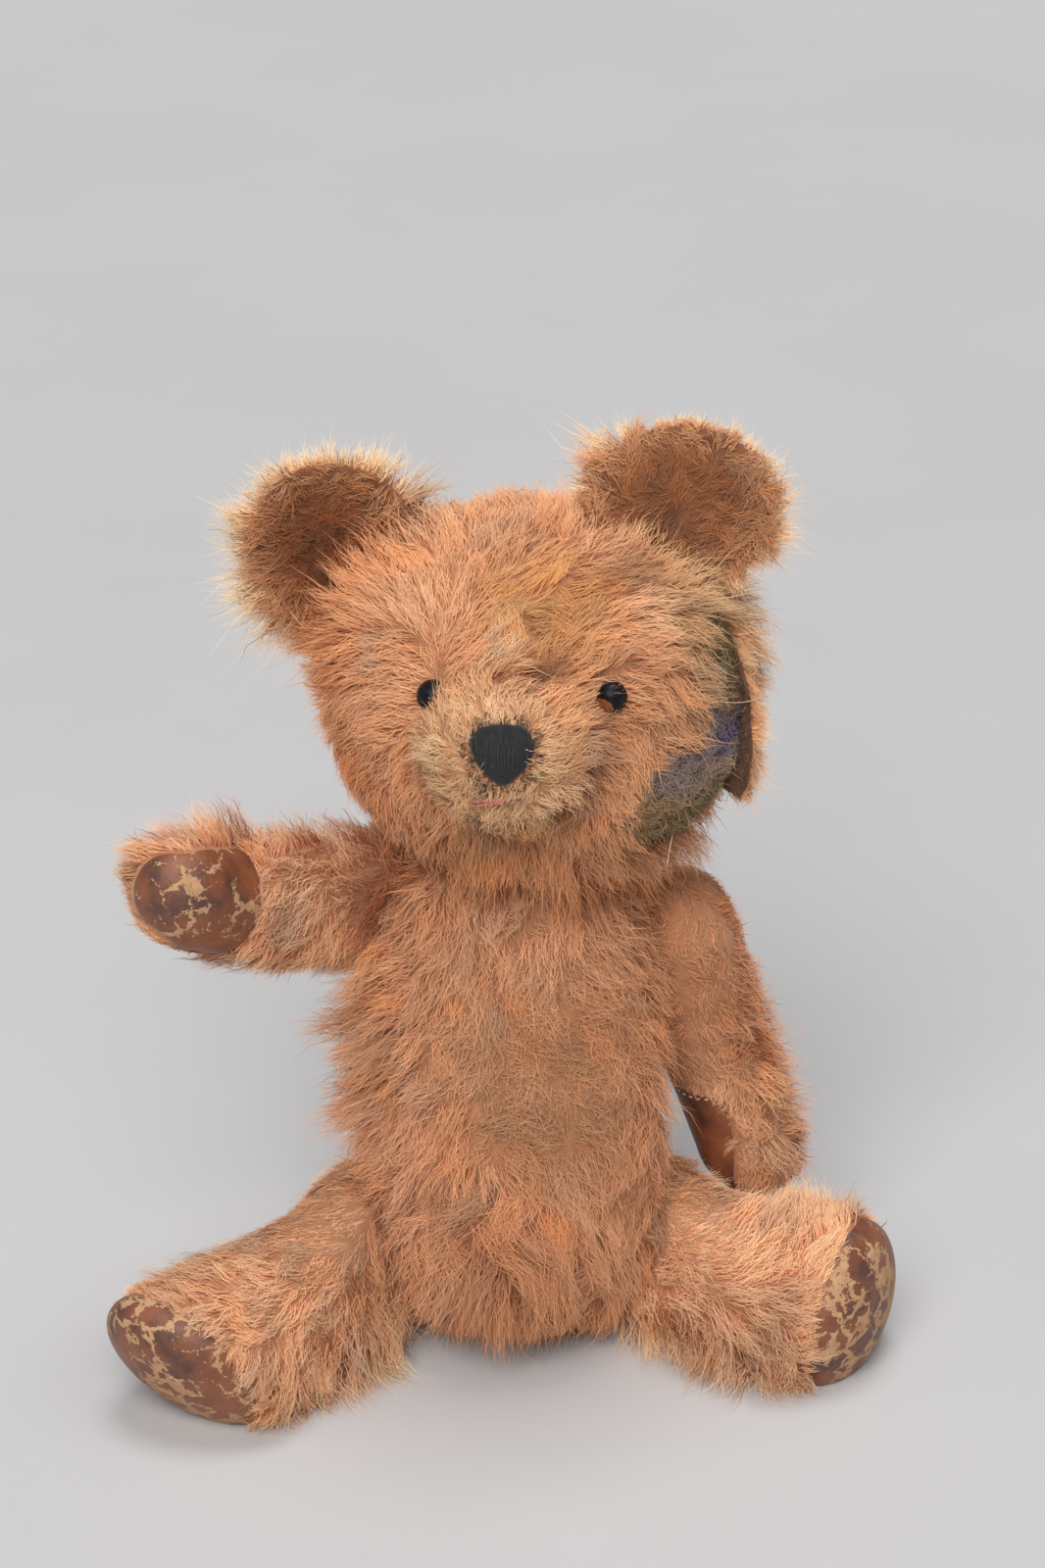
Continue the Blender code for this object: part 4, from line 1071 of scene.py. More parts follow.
def head_style(points, normals):
    skin = SKINS["head"]
    q = skin.local(points) / MM
    turn = matrix(skin.frame)[:3, :3]
    from_nose = unit(q - np.array((-4, -82, 2)))
    behind = smoothstep(q[:, 1], -5, 35)
    below = smoothstep(-q[:, 2], 5, 38)
    away = from_nose + np.stack([0 * below, 0 * below, -0.55 * below - 0.9 * behind], 1)
    muzzle = blob(q * MM, *MUZZLE_FUR)
    away = away @ turn.T
    comb = lerp(flow("head", points, away), flow("muzzle", points, away, 9.0), muzzle)
    side = smoothstep(np.abs(q[:, 0]), 30, 58)
    crown = smoothstep(q[:, 2], 22, 45)
    length = 11.5 + 2.5 * side + 1.0 * behind - 1.5 * crown * (1 - behind) - 6.2 * muzzle
    eyes = np.zeros(len(q))
    for name, spec in EYES.items():
        eyes = np.maximum(eyes, blob(q * MM, spec["centre"], 10 if name == "left" else 8, 0.45))
    waist = blob(points, (57, -41, 236), 8, 0.5)
    whole = np.maximum(smoothstep(tear_gap(points), 0, 10), waist)
    length = length * (1 - 0.15 * eyes) * (0.3 + 0.7 * whole)
    tip = lerp(TIP, tone(255, 212, 163), muzzle)
    turned = smoothstep(-q[:, 0], 30, 60) * (1 - behind)
    tip = lerp(tip, tone(252, 180, 130), turned)
    # painted shade: darker tips on the underside of the head
    tip = lerp(tip, tone(206, 144, 100), below * 0.5)
    root = lerp(ROOT, tone(194, 138, 92), muzzle)
    return plain_style(
        points, comb, "head", length=length, lift=0.36 + 0.06 * side - 0.06 * muzzle + 0.04 * eyes,
        stray=0.34 + 0.4 * muzzle, clump=0.38 - 0.14 * muzzle, frizz=0.1 + 0.06 * muzzle,
        width=0.28 - 0.05 * muzzle, root=root, tip=tip,
    )


def arm_style(side):
    skin = SKINS[f"{side}_arm"]

    def style(points, normals):
        q = skin.local(points) / MM
        toward_tip = matrix(skin.frame)[:3, :3] @ np.array((0, 0, -1.0))
        fallback = np.broadcast_to(toward_tip, q.shape) + np.array((0, 0, -0.45))
        comb = flow(f"{side}_arm", points, fallback)
        tip = smoothstep(-q[:, 2], 60, 95)
        close = smoothstep(-gap_to_pad(f"{side}_arm", points), -11 * MM, -4 * MM)
        if side == "left":
            return plain_style(
                points, comb, "left_arm", length=5.2 - 0.5 * tip - 2.0 * close, lift=0.28 - 0.14 * close,
                stray=0.6, clump=0.22, frizz=0.16, width=0.27, loose=0.3, root=tone(192, 122, 84),
                tip=tone(240, 176, 130),
            )
        return plain_style(points, comb, "right_arm", length=11.5 - 2.5 * tip - 4.0 * close,
                           lift=0.38 - 0.08 * close, root=tone(220, 145, 104), tip=tone(255, 205, 161))

    return style


def leg_style(side):
    skin = SKINS[f"{side}_leg"]

    def style(points, normals):
        q = skin.local(points) / MM
        bend = SLUMPS[side]["bend"]
        ahead = np.array((SIDES[side] * math.sin(bend), -math.cos(bend), 0.0))
        toward_foot = matrix(skin.frame)[:3, :3] @ ahead
        comb = flow(f"{side}_leg", points, np.broadcast_to(toward_foot, q.shape) + np.array((0, 0, -0.55)))
        close = smoothstep(-gap_to_pad(f"{side}_leg", points), -14 * MM, -4 * MM)
        return plain_style(
            points, comb, f"{side}_leg", length=11.0 - 5.0 * close, lift=0.33 - 0.03 * close, clump=0.34,
            stray=0.34 + 0.15 * close, root=tone(220, 146, 106), tip=tone(255, 208, 163),
        )

    return style


def gap_to_pad(name, points):
    """Distance from points to the pad on a limb."""
    return np.array([PAD_TREES[name].find_nearest(p)[3] for p in points])


EAR_COATS = {  # tips round the rim, and the fur's length there and in the hollow
    "right": (tone(255, 226, 184), 10.0, 8.0),
    "left": (tone(255, 214, 168), 6.0, 6.5),
}


def ear_radius(q):
    """How far places in an ear's own frame lie from its middle, as a share of its size."""
    return np.hypot(q[:, 0] / 31, q[:, 2] / 27)


def ear_style(side):
    skin, (blond, long, short) = SKINS[f"{side}_ear"], EAR_COATS[side]

    def style(points, normals):
        q = skin.local(points) / MM
        turn = matrix(skin.frame)[:3, :3]
        hollow = smoothstep(-(normals @ turn)[:, 1], -0.15, 0.45)
        comb = unit(np.stack([q[:, 0], 0 * q[:, 0], q[:, 2]], 1)) + np.array((0, 0.1, 0))
        comb = comb + hollow[:, None] * np.array((0, 0, -1.2)) * (side == "right")
        # painted shade: inside the hollow the fur is darker towards the middle and lighter at the rim
        rim = smoothstep(ear_radius(q), 0.5, 0.95)
        tip = lerp(blond, lerp(tone(170, 108, 68), tone(226, 166, 120), rim), hollow)
        root = lerp(tone(226, 166, 118), lerp(tone(140, 82, 48), tone(178, 118, 78), rim), hollow)
        return plain_style(
            points, comb @ turn.T, f"{side}_ear", length=long * (1 - hollow) + short * hollow,
            lift=0.34 - 0.06 * hollow, stray=0.4 + 0.3 * hollow, clump=0.4 - 0.08 * hollow, frizz=0.14,
            loose=0.3, width=0.27, hug=0.15 + 0.75 * hollow, glow=0.8 - 0.65 * hollow, root=root, tip=tip,
        )

    return style


# ---------------------------------------------------------------- fur pieces

def coat_of(name, *growth):
    coat = Coat()
    coat.grow_on(SKINS[name], *growth)
    return coat


def torso_fur():
    def weight(points, normals):
        front = 1 + 0.5 * smoothstep(-normals[:, 1], 0.0, 0.5)
        seat = 1 - 0.85 * smoothstep(-points[:, 2], -2 * MM, 0)
        return free_of("torso", points) * front * seat

    coat = coat_of("torso", STRANDS["torso"], weight, 11, torso_style)
    coat.build("torso_front_fur", "torso", "plush", lambda p, n: p[:, 1] < 0)
    coat.build("torso_back_fur", "torso", "plush", lambda p, n: p[:, 1] >= 0)


def head_weight(points, normals):
    q = SKINS["head"].local(points) / MM
    keep = smoothstep(gap_to(points, [SKINS["torso"]]), 1.5 * MM, 6 * MM)
    keep = keep * np.where(in_tear(points), 0, 1)
    keep = keep * np.where(inside_outline(q[:, 0], q[:, 2], NOSE_SHAPE) & (q[:, 1] < -50), 0.05, 1)
    keep = keep * np.where(inside_outline(q[:, 0], q[:, 2], MOUTH_SHAPE) & (q[:, 1] < -50), 0.25, 1)
    for side, spec in EYES.items():
        keep = keep * (1 - blob(q * MM, spec["centre"], 3.9 if side == "left" else 4.6, 0.15))
    muzzle = blob(q * MM, *MUZZLE_FUR)
    front = smoothstep(-normals[:, 1], -0.1, 0.4)
    return keep * (1 + 0.9 * muzzle + 0.55 * front)


def head_fur():
    coat = coat_of("head", STRANDS["head"], head_weight, 21, head_style)
    coat.build("head_front_fur", "head", "plush", lambda p, n: p[:, 1] < -8 * MM)
    coat.build("head_back_fur", "head", "plush", lambda p, n: p[:, 1] >= -8 * MM)


def limb_fur(side, part, seed):
    name = f"{side}_{part}"

    def weight(points, normals):
        seat = 1 - 0.9 * smoothstep(-points[:, 2], -1.5 * MM, 0)
        gap = gap_to_pad(name, points)
        dense = 1 + 1.3 * smoothstep(-gap, -12 * MM, -5 * MM)
        return free_of(name, points) * smoothstep(gap, 0.9 * MM, 1.6 * MM) * dense * seat

    style = arm_style(side) if part == "arm" else leg_style(side)
    coat = coat_of(name, STRANDS[part], weight, seed, style)
    coat.build(f"{name}_fur", name, "plush")


def ear_fur(side, seed):
    skin = SKINS[f"{side}_ear"]

    def weight(points, normals):
        q = skin.local(points) / MM
        n = normals @ matrix(skin.frame)[:3, :3]
        radius = ear_radius(q)
        hollow = smoothstep(-n[:, 1], -0.1, 0.4) * (1 - smoothstep(radius, 0.9, 1.0))
        clear = smoothstep(gap_to(points, [SKINS["head"]]), 0, 2 * MM)
        inside = np.array([SKINS["head"].tree.find_nearest(p) for p in points], object)
        outward = np.array([(Vector(p) - f[0]).dot(f[1]) > 0 for p, f in zip(points, inside)])
        rim = smoothstep(radius, 0.7, 0.9) * (1 - hollow)
        return clear * outward * (1 + 0.2 * hollow + 2.0 * rim)

    coat = coat_of(f"{side}_ear", STRANDS["ear"], weight, seed, ear_style(side), 45, 8)
    coat.build(f"{side}_ear_fur", "head", "ear_plush")


# ---------------------------------------------------------------- skins under the fur

def add_skin(name, body, replaces, material, drop=None):
    skin = SKINS[name]
    tris = skin.tris
    if drop is not None:
        tris = tris[~drop(skin.points[tris].mean(1))]
    used, tris = np.unique(tris, return_inverse=True)
    obj = mesh_object(f"{name}_plush", skin.points[used], tris.reshape(-1, 3), [material], body,
                      replaces=replaces)
    return obj


def turned_outline(outline, count):
    """The middle of a closed outline, and how far it reaches at each of count even turns about it."""
    outline = np.array(outline, float)
    centre = outline.mean(0)
    share = np.linspace(0, 1, 13)[:-1, None, None]
    fine = outline * (1 - share) + np.roll(outline, -1, axis=0) * share
    fine = fine.transpose(1, 0, 2).reshape(-1, 2) - centre
    angle = np.arctan2(fine[:, 1], fine[:, 0])
    order = np.argsort(angle)
    turn = np.linspace(-np.pi, np.pi, count, endpoint=False)
    far = np.linalg.norm(fine, axis=1)
    return centre, turn, np.interp(turn, angle[order], far[order], period=2 * np.pi)


def evened(skin, rings_of):
    """Rings of points on a skin, each point moved a little towards its neighbours along its ring."""
    rings_of = (np.roll(rings_of, 1, axis=1) + 2 * rings_of + np.roll(rings_of, -1, axis=1)) / 4
    return [skin.tree.find_nearest(spot)[0] for spot in rings_of.reshape(-1, 3)]


def patch(skin, own, outline, axis, start, raise_by, rings=26, sides=84, edge=0.45 * MM, wrapped=False):
    """A pad that lies on a skin inside an outline: points in the row frame and triangles, and its rim
    with the normals there. A wrapped one is laid on from its middle outwards, at its true size."""
    centre, turn, reach = turned_outline(outline, sides)
    share = (np.arange(1, rings + 1) / rings) ** 0.85
    a = centre[0] + share[:, None] * reach * np.cos(turn)
    b = centre[1] + share[:, None] * reach * np.sin(turn)
    flat = np.concatenate([[centre], np.stack([a, b], -1).reshape(-1, 2)])
    origin, way = np.zeros((2, len(flat), 3))
    across = [k for k in range(3) if k != axis]
    origin[:, across] = flat
    origin[:, axis] = start
    way[:, axis] = -math.copysign(1, start)
    into = skin.frame.inverted() @ own
    turned = matrix(into)[:3, :3].T
    if wrapped:
        ways = np.zeros((sides, 3))
        ways[:, across] = np.stack([np.cos(turn), np.sin(turn)], 1)
        moves = np.diff(share, prepend=0)[:, None] * reach
        spots, normals = skin.wrap(moved(origin[:1], into), way[:1] @ turned, ways @ turned, moves)
        spots[1:] = evened(skin, spots[1:].reshape(rings, sides, 3))
    else:
        spots, normals = skin.cast(moved(origin, into), way @ turned)
    rise = edge + (raise_by - edge) * np.clip((1 - share) * 9, 0, 1) ** 0.5
    spots = spots + normals * np.concatenate([[raise_by], np.repeat(rise, sides)])[:, None]
    first = np.arange(sides) + 1
    tris = [np.stack([0 * first, first, np.roll(first, -1)], 1)]
    for ring in range(rings - 1):
        low, top = first + ring * sides, first + (ring + 1) * sides
        tris += [np.stack([low, top, np.roll(low, -1)], 1),
                 np.stack([np.roll(low, -1), top, np.roll(top, -1)], 1)]
    tris = np.concatenate(tris)
    p = spots[tris]
    facing = np.einsum("ij,ij->i", np.cross(p[:, 1] - p[:, 0], p[:, 2] - p[:, 0]), normals[tris[:, 0]])
    if facing.sum() < 0:
        tris = tris[:, ::-1]
    return spots, tris, spots[-sides:], normals[-sides:]


def tubes(paths, radius, sides=5):
    """Round threads along polylines (N, P, 3), with pointed ends."""
    paths = np.asarray(paths, float)
    count, steps = paths.shape[:2]
    along = unit(np.gradient(paths, axis=1))
    guess = np.where(np.abs(along[:, :1, 2:]) > 0.8, np.array((1.0, 0, 0)), np.array((0, 0, 1.0)))
    u = unit(np.cross(along, np.broadcast_to(guess, along.shape)))
    v = np.cross(along, u)
    taper = np.clip(np.minimum(np.arange(steps), np.arange(steps)[::-1]) + 0.35, 0, 1)
    angle = 2 * np.pi * np.arange(sides) / sides
    ring = (u[:, :, None] * np.cos(angle)[:, None] + v[:, :, None] * np.sin(angle)[:, None])
    radius = np.broadcast_to(np.asarray(radius, float).reshape(-1, 1, 1, 1), (count, 1, 1, 1))
    spots = paths[:, :, None] + ring * radius * taper[None, :, None, None]
    faces = []
    for k in range(steps - 1):
        for s in range(sides):
            low, after = k * sides + s, k * sides + (s + 1) % sides
            faces += [(low, after, after + sides), (low, after + sides, low + sides)]
    for k, flip in ((0, 1), (steps - 1, -1)):
        for s in range(1, sides - 1):
            faces.append((k * sides, k * sides + s, k * sides + s + 1)[::-flip])
    faces = np.array(faces)[None] + (np.arange(count) * steps * sides)[:, None, None]
    return spots.reshape(-1, 3), faces.reshape(-1, 3)


def added(tree, *parts):
    """The sum of numbers in a node tree."""
    total = parts[0]
    for part in parts[1:]:
        total = add_node(tree, "ShaderNodeMath", {0: total, 1: part}, operation="ADD").outputs[0]
    return total


def vector_math(tree, operation, a, b, output="Vector"):
    return add_node(tree, "ShaderNodeVectorMath", {0: a, 1: b}, operation=operation).outputs[output]


CRACKS, CRACK_BEND = 110.0, 0.010
BLACK, WHITE = (0, 0, 0), (1, 1, 1)


def rexine_material(name, worn_at, worn_far, seed, wear=0.0):
    """Coated cloth whose brown skin has cracked and flaked off its pale cloth."""
    made, tree, shader = new_material(name, 0.5)
    where = object_coords(tree)
    shifted = vector_math(tree, "ADD", where, (seed * 0.37, seed * 0.11, seed * 0.23))
    bend = add_node(tree, "ShaderNodeTexNoise", {"Vector": shifted, "Scale": 160, "Detail": 3.0})
    bend = vector_math(tree, "MULTIPLY", bend.outputs["Color"], (CRACK_BEND,) * 3)
    rough = vector_math(tree, "ADD", shifted, bend)
    edge = add_node(tree, "ShaderNodeTexVoronoi", {"Vector": rough, "Scale": CRACKS},
                    feature="DISTANCE_TO_EDGE").outputs["Distance"]
    broad = noise(tree, shifted, 70, 2)
    speck = noise(tree, shifted, 620, 4, 0.75)
    near = vector_math(tree, "DISTANCE", where, worn_at, "Value")
    total = add_node(tree, "ShaderNodeMapRange", {
        "Value": near, "From Min": 0.0, "From Max": worn_far, "To Min": 0.10 + wear, "To Max": -0.10 + wear,
    }).outputs["Result"]
    for part, weight, middle in ((broad, 1.3, 0.5), (speck, 0.9, 0.5), (edge, -1.7, 0.06)):
        off = added(tree, part, -middle)
        scaled = add_node(tree, "ShaderNodeMath", {0: off, 1: weight}, operation="MULTIPLY").outputs[0]
        total = added(tree, total, scaled)
    worn = ramp(tree, total, [(0.0, BLACK), (0.04, WHITE)])
    stops = [(0.36, tone(90, 60, 50)), (0.46, tone(127, 74, 50)), (0.66, tone(150, 90, 60))]
    brown = ramp(tree, noise(tree, shifted, 60, 3), stops)
    weave = add_node(tree, "ShaderNodeTexWave", {"Vector": where, "Scale": 900.0, "Distortion": 3.0})
    stops = [(0.3, tone(172, 122, 84)), (0.7, tone(206, 158, 114))]
    cloth = ramp(tree, noise(tree, shifted, 260, 3), stops)
    stops = [(0.2, (0.3, 0.19, 0.1)), (0.8, (0.75, 0.55, 0.36))]
    cloth = mixed(tree, 0.25, cloth, ramp(tree, weave.outputs["Fac"], stops))
    tree.links.new(mixed(tree, worn, brown, cloth), shader.inputs["Base Color"])
    dull = ramp(tree, worn, [(0.0, (0.42,) * 3), (1.0, (0.92,) * 3)])
    tree.links.new(dull, shader.inputs["Roughness"])
    flaked = ramp(tree, worn, [(0.0, WHITE), (1.0, BLACK)])
    grain = ramp(tree, speck, [(0.3, BLACK), (0.7, WHITE)])
    bump(tree, shader, mixed(tree, 0.3, flaked, grain), 0.0006, 0.8)
    return made


# the share of each step that a stitch covers, and how far it stands off
STITCH_LENGTH, STITCH_RAISE, STITCH_ARCH = 0.62, 0.15 * MM, 0.35 * MM


def running_stitches(name, body, rim, normals, spacing, inset, radius):
    """A row of stitches along a closed rim, each a little arched and moved inwards by inset."""
    closed, closed_normals = (np.concatenate([table, table[:1]]) for table in (rim, normals))
    step = np.concatenate([[0], np.cumsum(np.linalg.norm(np.diff(closed, axis=0), axis=1))])
    count, share = int(step[-1] / spacing), np.linspace(0, 1, 5)
    read = lambda at, table: np.stack([np.interp(at % step[-1], step, table[:, k]) for k in range(3)], -1)
    starts = np.arange(count) * step[-1] / count
    at = (starts[:, None] + share * spacing * STITCH_LENGTH).ravel()
    paths = read(at, closed).reshape(count, 5, 3)
    up = unit(read(at, closed_normals)).reshape(count, 5, 3)
    inward = unit(rim.mean(0) - paths)
    arch = np.sin(np.pi * share)[None, :, None] * STITCH_ARCH
    paths = paths + up * (STITCH_RAISE + arch) + inward * inset
    spots, faces = tubes(paths, radius)
    return mesh_object(name, spots, faces, [CREAM_THREAD], body)


PAD_RAISE = 0.8 * MM
PADS = {  # how far wear reaches from the middle, a seed, how worn it is, and the thread's radius in mm
    "right_paw": (0.035, 3, -0.03, 0.22),
    "left_paw": (0.035, 8, -0.26, 0.34),
    "right_foot": (0.04, 1, 0.03, 0.34),
    "left_foot": (0.04, 5, 0.06, 0.34),
}


def add_pad(pad, name, body, place, grid, spacing, inset):
    """A pad on a limb, and the stitches round it. Its place is a frame, an outline, an axis and a start,
    and its grid a number of rings and of sides."""
    worn_far, seed, wear, thread = PADS[pad]
    spots, tris, rim, normals = patch(SKINS[body], *place, PAD_RAISE, *grid, wrapped=True)
    finish = rexine_material(f"{pad}_rexine", tuple(spots.mean(0)), worn_far, seed, wear)
    mesh_object(name, spots, tris, [finish], body, replaces=[f"{pad}_pad"])
    PAD_TREES[body] = BVHTree.FromPolygons(spots.tolist(), tris.tolist())
    running_stitches(f"{name}_stitches", body, rim, normals, spacing, inset, thread * MM)


def add_pads():
    for side, sign in SIDES.items():
        arm = SKINS[f"{side}_arm"].frame, paw_outline(side), 0, -sign * 30 * MM
        add_pad(f"{side}_paw", f"{side}_paw", f"{side}_arm", arm, (26, 84), 3.2 * MM, 1.1 * MM)
        leg = *sole_frame(side), 1, -40 * MM
        add_pad(f"{side}_foot", f"{side}_sole", f"{side}_leg", leg, (34, 96), 3.4 * MM, 1.0 * MM)


# ---------------------------------------------------------------- face

def add_eyes():
    """Glass eyes that are nearly all pupil: the amber shows as a crescent at the lower inner side."""
    amber = mottled("amber_iris", 0.18, [(0.3, tone(96, 48, 24)), (0.7, tone(150, 86, 48))], 500,
                    Specular_IOR_Level=0.4)
    pupil = mottled("black_pupil", 0.35, [(0.3, tone(14, 14, 17)), (0.7, tone(34, 34, 38))], 300, 2,
                    Specular_IOR_Level=0.12)
    x, y, z = ball(30, 48)
    points, tris = closed_rings(np.stack([x, -y, z], -1) * EYE_RADIUS)
    middle = points[tris].mean(1) / EYE_RADIUS
    for side, spec in EYES.items():
        own = SKINS["head"].frame @ aimed_frame(spec["centre"], spec["facing"])
        obj = mesh_object(f"{side}_glass_eye", moved(points, own), tris, [amber, pupil], "head",
                          replaces=[f"{side}_eye"])
        crescent = middle @ unit(np.array((-SIDES[side] * 0.75, -0.35, -0.55)))
        obj.data.polygons.foreach_set("material_index", (crescent < 0.78).astype(np.int32))


BEFORE_FACE = -120 * MM


def onto_face(x, z):
    """Where places (x, z) of the head's frame, seen from the front, lie on it: points and normals."""
    origin = np.stack([x, np.full(x.shape, BEFORE_FACE), z], -1).reshape(-1, 3)
    return SKINS["head"].cast(origin, np.broadcast_to(np.array((0, 1.0, 0)), origin.shape))


def rounded(outline, steps=8):
    """A closed Catmull-Rom curve through an outline."""
    curve = []
    for i in range(len(outline)):
        a, b, c, d = (outline[(i + k) % len(outline)] for k in (-1, 0, 1, 2))
        for t in np.linspace(0, 1, steps, endpoint=False):
            square, cube = 2 * a - 5 * b + 4 * c - d, 3 * b - a - 3 * c + d
            curve.append((2 * b + (c - a) * t + square * t**2 + cube * t**3) / 2)
    return curve


def nose_lines(outline, rng):
    """Upright stitches across the nose, as starts and ends (x, z), some of them short."""
    starts, ends = [], []
    z = np.linspace(-3, 18, 200)
    for x in np.arange(-14.6, 6.3, 0.42):
        within = z[inside_outline(np.full(200, x), z, np.array(outline) / MM)]
        if len(within) < 4:
            continue
        for _ in range(2):
            top = within.max() + rng.normal(0.1, 0.8)
            bottom = within.min() - rng.normal(0.1, 0.7)
            if rng.random() < 0.35:
                bottom = bottom + (top - bottom) * rng.uniform(0.2, 0.5)
            starts.append((x + rng.normal(0, 0.4), top))
            ends.append((x + rng.normal(0, 0.9) - 0.15 * (x + 4), bottom))
    return np.array(starts)[:, None] * MM, np.array(ends)[:, None] * MM


def add_nose():
    """Worn black stitches over a low pad of wool."""
    wool = thread_material("black_wool", tone(14, 12, 14), tone(33, 30, 31))
    outline = (np.array(NOSE_WOOL) - (-4, 8)) * (0.93, 0.93) * MM + (-4 * MM, 8.6 * MM)
    outline, head = rounded(outline), SKINS["head"]
    spots, tris, _, _ = patch(head, head.frame, outline, 1, BEFORE_FACE, 1.5 * MM, rings=14, sides=48)
    rng = np.random.default_rng(41)
    starts, ends = nose_lines(outline, rng)
    share = np.linspace(0, 1, 9)[None, :, None]
    flat = starts * (1 - share) + ends * share
    paths, normals = onto_face(flat[..., 0], flat[..., 1])
    arch = np.sin(np.pi * share).ravel() ** 0.5
    lift = (0.5 + rng.uniform(0.6, 1.3, len(starts)))[:, None] * arch[None] * MM
    paths = (paths + normals * lift.reshape(-1, 1)).reshape(*flat.shape[:2], 3)
    threads, faces = tubes(paths, rng.uniform(0.28, 0.4, len(paths)) * MM)
    mesh_object("nose_threads", np.concatenate([spots, threads]), np.concatenate([tris, faces + len(spots)]),
                [wool], "head", replaces=["nose_stitching"])


def add_nose_fuzz():
    """Broken wool round the nose."""
    head, middle = SKINS["head"], np.array((-4, 0, 8))

    def weight(points, normals):
        q = head.local(points) / MM
        far = np.linalg.norm((q - middle)[:, (0, 2)] / np.array((11.5, 10.5)), axis=1)
        return ((q[:, 1] < -50) & (far < 1.15)) * (0.25 + smoothstep(far, 0.6, 0.95))

    def style(points, normals):
        q = head.local(points) / MM
        comb = (q - middle) * np.array((1, 0, 1)) @ matrix(head.frame)[:3, :3].T
        return plain_style(points, comb + 1e-3, length=1.9, lift=0.6, stray=1.6, clump=0.1, frizz=0.4,
                           width=0.17, loose=0.5, root=tone(28, 26, 27), tip=tone(66, 58, 54))

    coat = coat_of("head", 1000, weight, 47, style, 8, 2)
    coat.build("nose_fuzz", "head", "black_thread")


PINK_STITCHES = (
    ((-15, -7.3), (-9, -5.7), (-4, -5.9)), ((-14, -6.7), (-8, -5.1), (-3, -5.2)),
    ((-12, -7.8), (-7, -6.5), (-4, -6.5)), ((-13, -8.6), (-10, -7.4), (-7, -7.2)),
)
# a dark thread past the mouth's end on the bear's left, standing for painted shade in the groove there
MOUTH_SHADE_LINE = ((-4, -6.1), (-1, -5.2), (2, -5.1))


def add_mouth():
    pink = thread_material("faded_pink", tone(172, 92, 78), tone(214, 132, 114))
    dark = thread_material("mouth_shade_line", tone(84, 50, 34), tone(120, 78, 54))
    share = np.linspace(0, 1, 13)

    def line(points):
        points = np.array(points, float) * MM
        at = np.linspace(0, 1, len(points))
        spots, normals = onto_face(*(np.interp(share, at, points[:, k]) for k in range(2)))
        return spots + normals * (1.3 * MM)

    spots, faces = tubes([line(points) for points in PINK_STITCHES], 0.38 * MM)
    mesh_object("mouth_threads", spots, faces, [pink], "head", replaces=["mouth_stitching"])
    # a dark thread as painted shade in the groove beside the mouth
    spots, faces = tubes([line(MOUTH_SHADE_LINE)], 0.3 * MM)
    mesh_object("mouth_shade_line", spots, faces, [dark], "head")


# ---------------------------------------------------------------- torn cheek

SHODDY = (  # (towards the back, up) in the tear's frame, radius, root and tip colours
    ((-4, -36), 16, tone(112, 98, 60), tone(172, 150, 106)),
    ((-20, -36), 12, tone(134, 106, 72), tone(190, 154, 112)),
    ((-8, -20), 9, tone(140, 114, 100), tone(204, 174, 152)),
    ((-18, -13), 8, tone(118, 104, 104), tone(180, 156, 146)),
    ((0, -9), 7, tone(66, 62, 100), tone(132, 122, 158)),
    ((-12, -4), 5, tone(98, 100, 118), tone(158, 152, 160)),
    ((4, -18), 6, tone(156, 130, 104), tone(224, 196, 164)),
    ((2, 8), 10, tone(108, 86, 62), tone(176, 146, 112)),
    ((0, 20), 8, tone(74, 70, 42), tone(136, 118, 78)),
    ((4, 30), 7, tone(108, 82, 56), tone(166, 132, 96)),
)


def add_loose_threads():
    """A pale thread across the tear and a straw-coloured one under the cheek."""
    share = np.linspace(0, 1, 9)[:, None]
    paths = []
    for start, end, sag in (((64, -36, 246), (83, -20, 241), 1.5), ((51, -36, 198), (49, -40, 187), -0.8)):
        path = np.array(start) * (1 - share) + np.array(end) * share
        path[:, 2] -= np.sin(np.pi * share[:, 0]) * sag
        paths.append(path * MM)
    straw = thread_material("straw_thread", tone(196, 158, 112), tone(236, 208, 164))
    spots, faces = tubes(paths, 0.17 * MM)
    mesh_object("loose_threads", spots, faces, [straw], "head")


def add_tear():
    """Packed wool in the hole of the cheek."""
    axes = tear_axes()
    outline = np.array(TEAR_SHAPE, float)
    outline = (outline + unit(outline - outline.mean(0)) * 2.5) * MM
    spots, tris, _, _ = patch(SKINS["head"], axes, outline, 0, 110 * MM, 0.0, rings=44, sides=110,
                              edge=-1.5 * MM)
    lumps = wobble(spots, 13 * MM, 61, 4) * 1.5 * MM + wobble(spots, 5 * MM, 62) * 0.6 * MM
    spots = spots + normals_of(spots, tris) * (lumps + 0.4 * MM)[:, None]
    stops = [(0.3, tone(78, 66, 50)), (0.5, tone(112, 96, 78)), (0.7, tone(146, 126, 106))]
    wad = mottled("shoddy_wad", 0.95, stops, 160, 5, 0.7, grain=(900, 4, 0.7, 0.0008, 0.9))
    obj = mesh_object("cheek_stuffing", spots, tris, [wad], "head", replaces=["head_stuffing"])
    places, radii, roots_of, tips_of = (np.array(column, float) for column in zip(*SHODDY))

    def style(points, n):
        q = moved(points, axes.inverted()) / MM
        near = np.exp(-((np.linalg.norm(q[:, None, 1:] - places[None], axis=2) / radii) ** 2) * 2)
        rng = np.random.default_rng(len(points))
        near = near * rng.uniform(0.6, 1.4, near.shape) + 1e-6
        near = near**3 / (near**3).sum(1, keepdims=True)
        swirl = unit(np.cross(n, np.array((0.3, 0.2, 1.0))))
        comb = around(n, swirl, rng.uniform(0, 6.28, len(points)))
        return plain_style(points, comb, length=7.5, lift=0.2, stray=1.0, clump=0.24, frizz=0.18, width=0.24,
                           root=near @ roots_of, tip=near @ tips_of)

    coat = Coat()
    coat.grow_on(shell(spots, tris), 7500, lambda p, n: in_tear(p, 1.5) * 1.0, 63, style, 14, 3)
    coat.build("cheek_wool", "head", "stuffing")


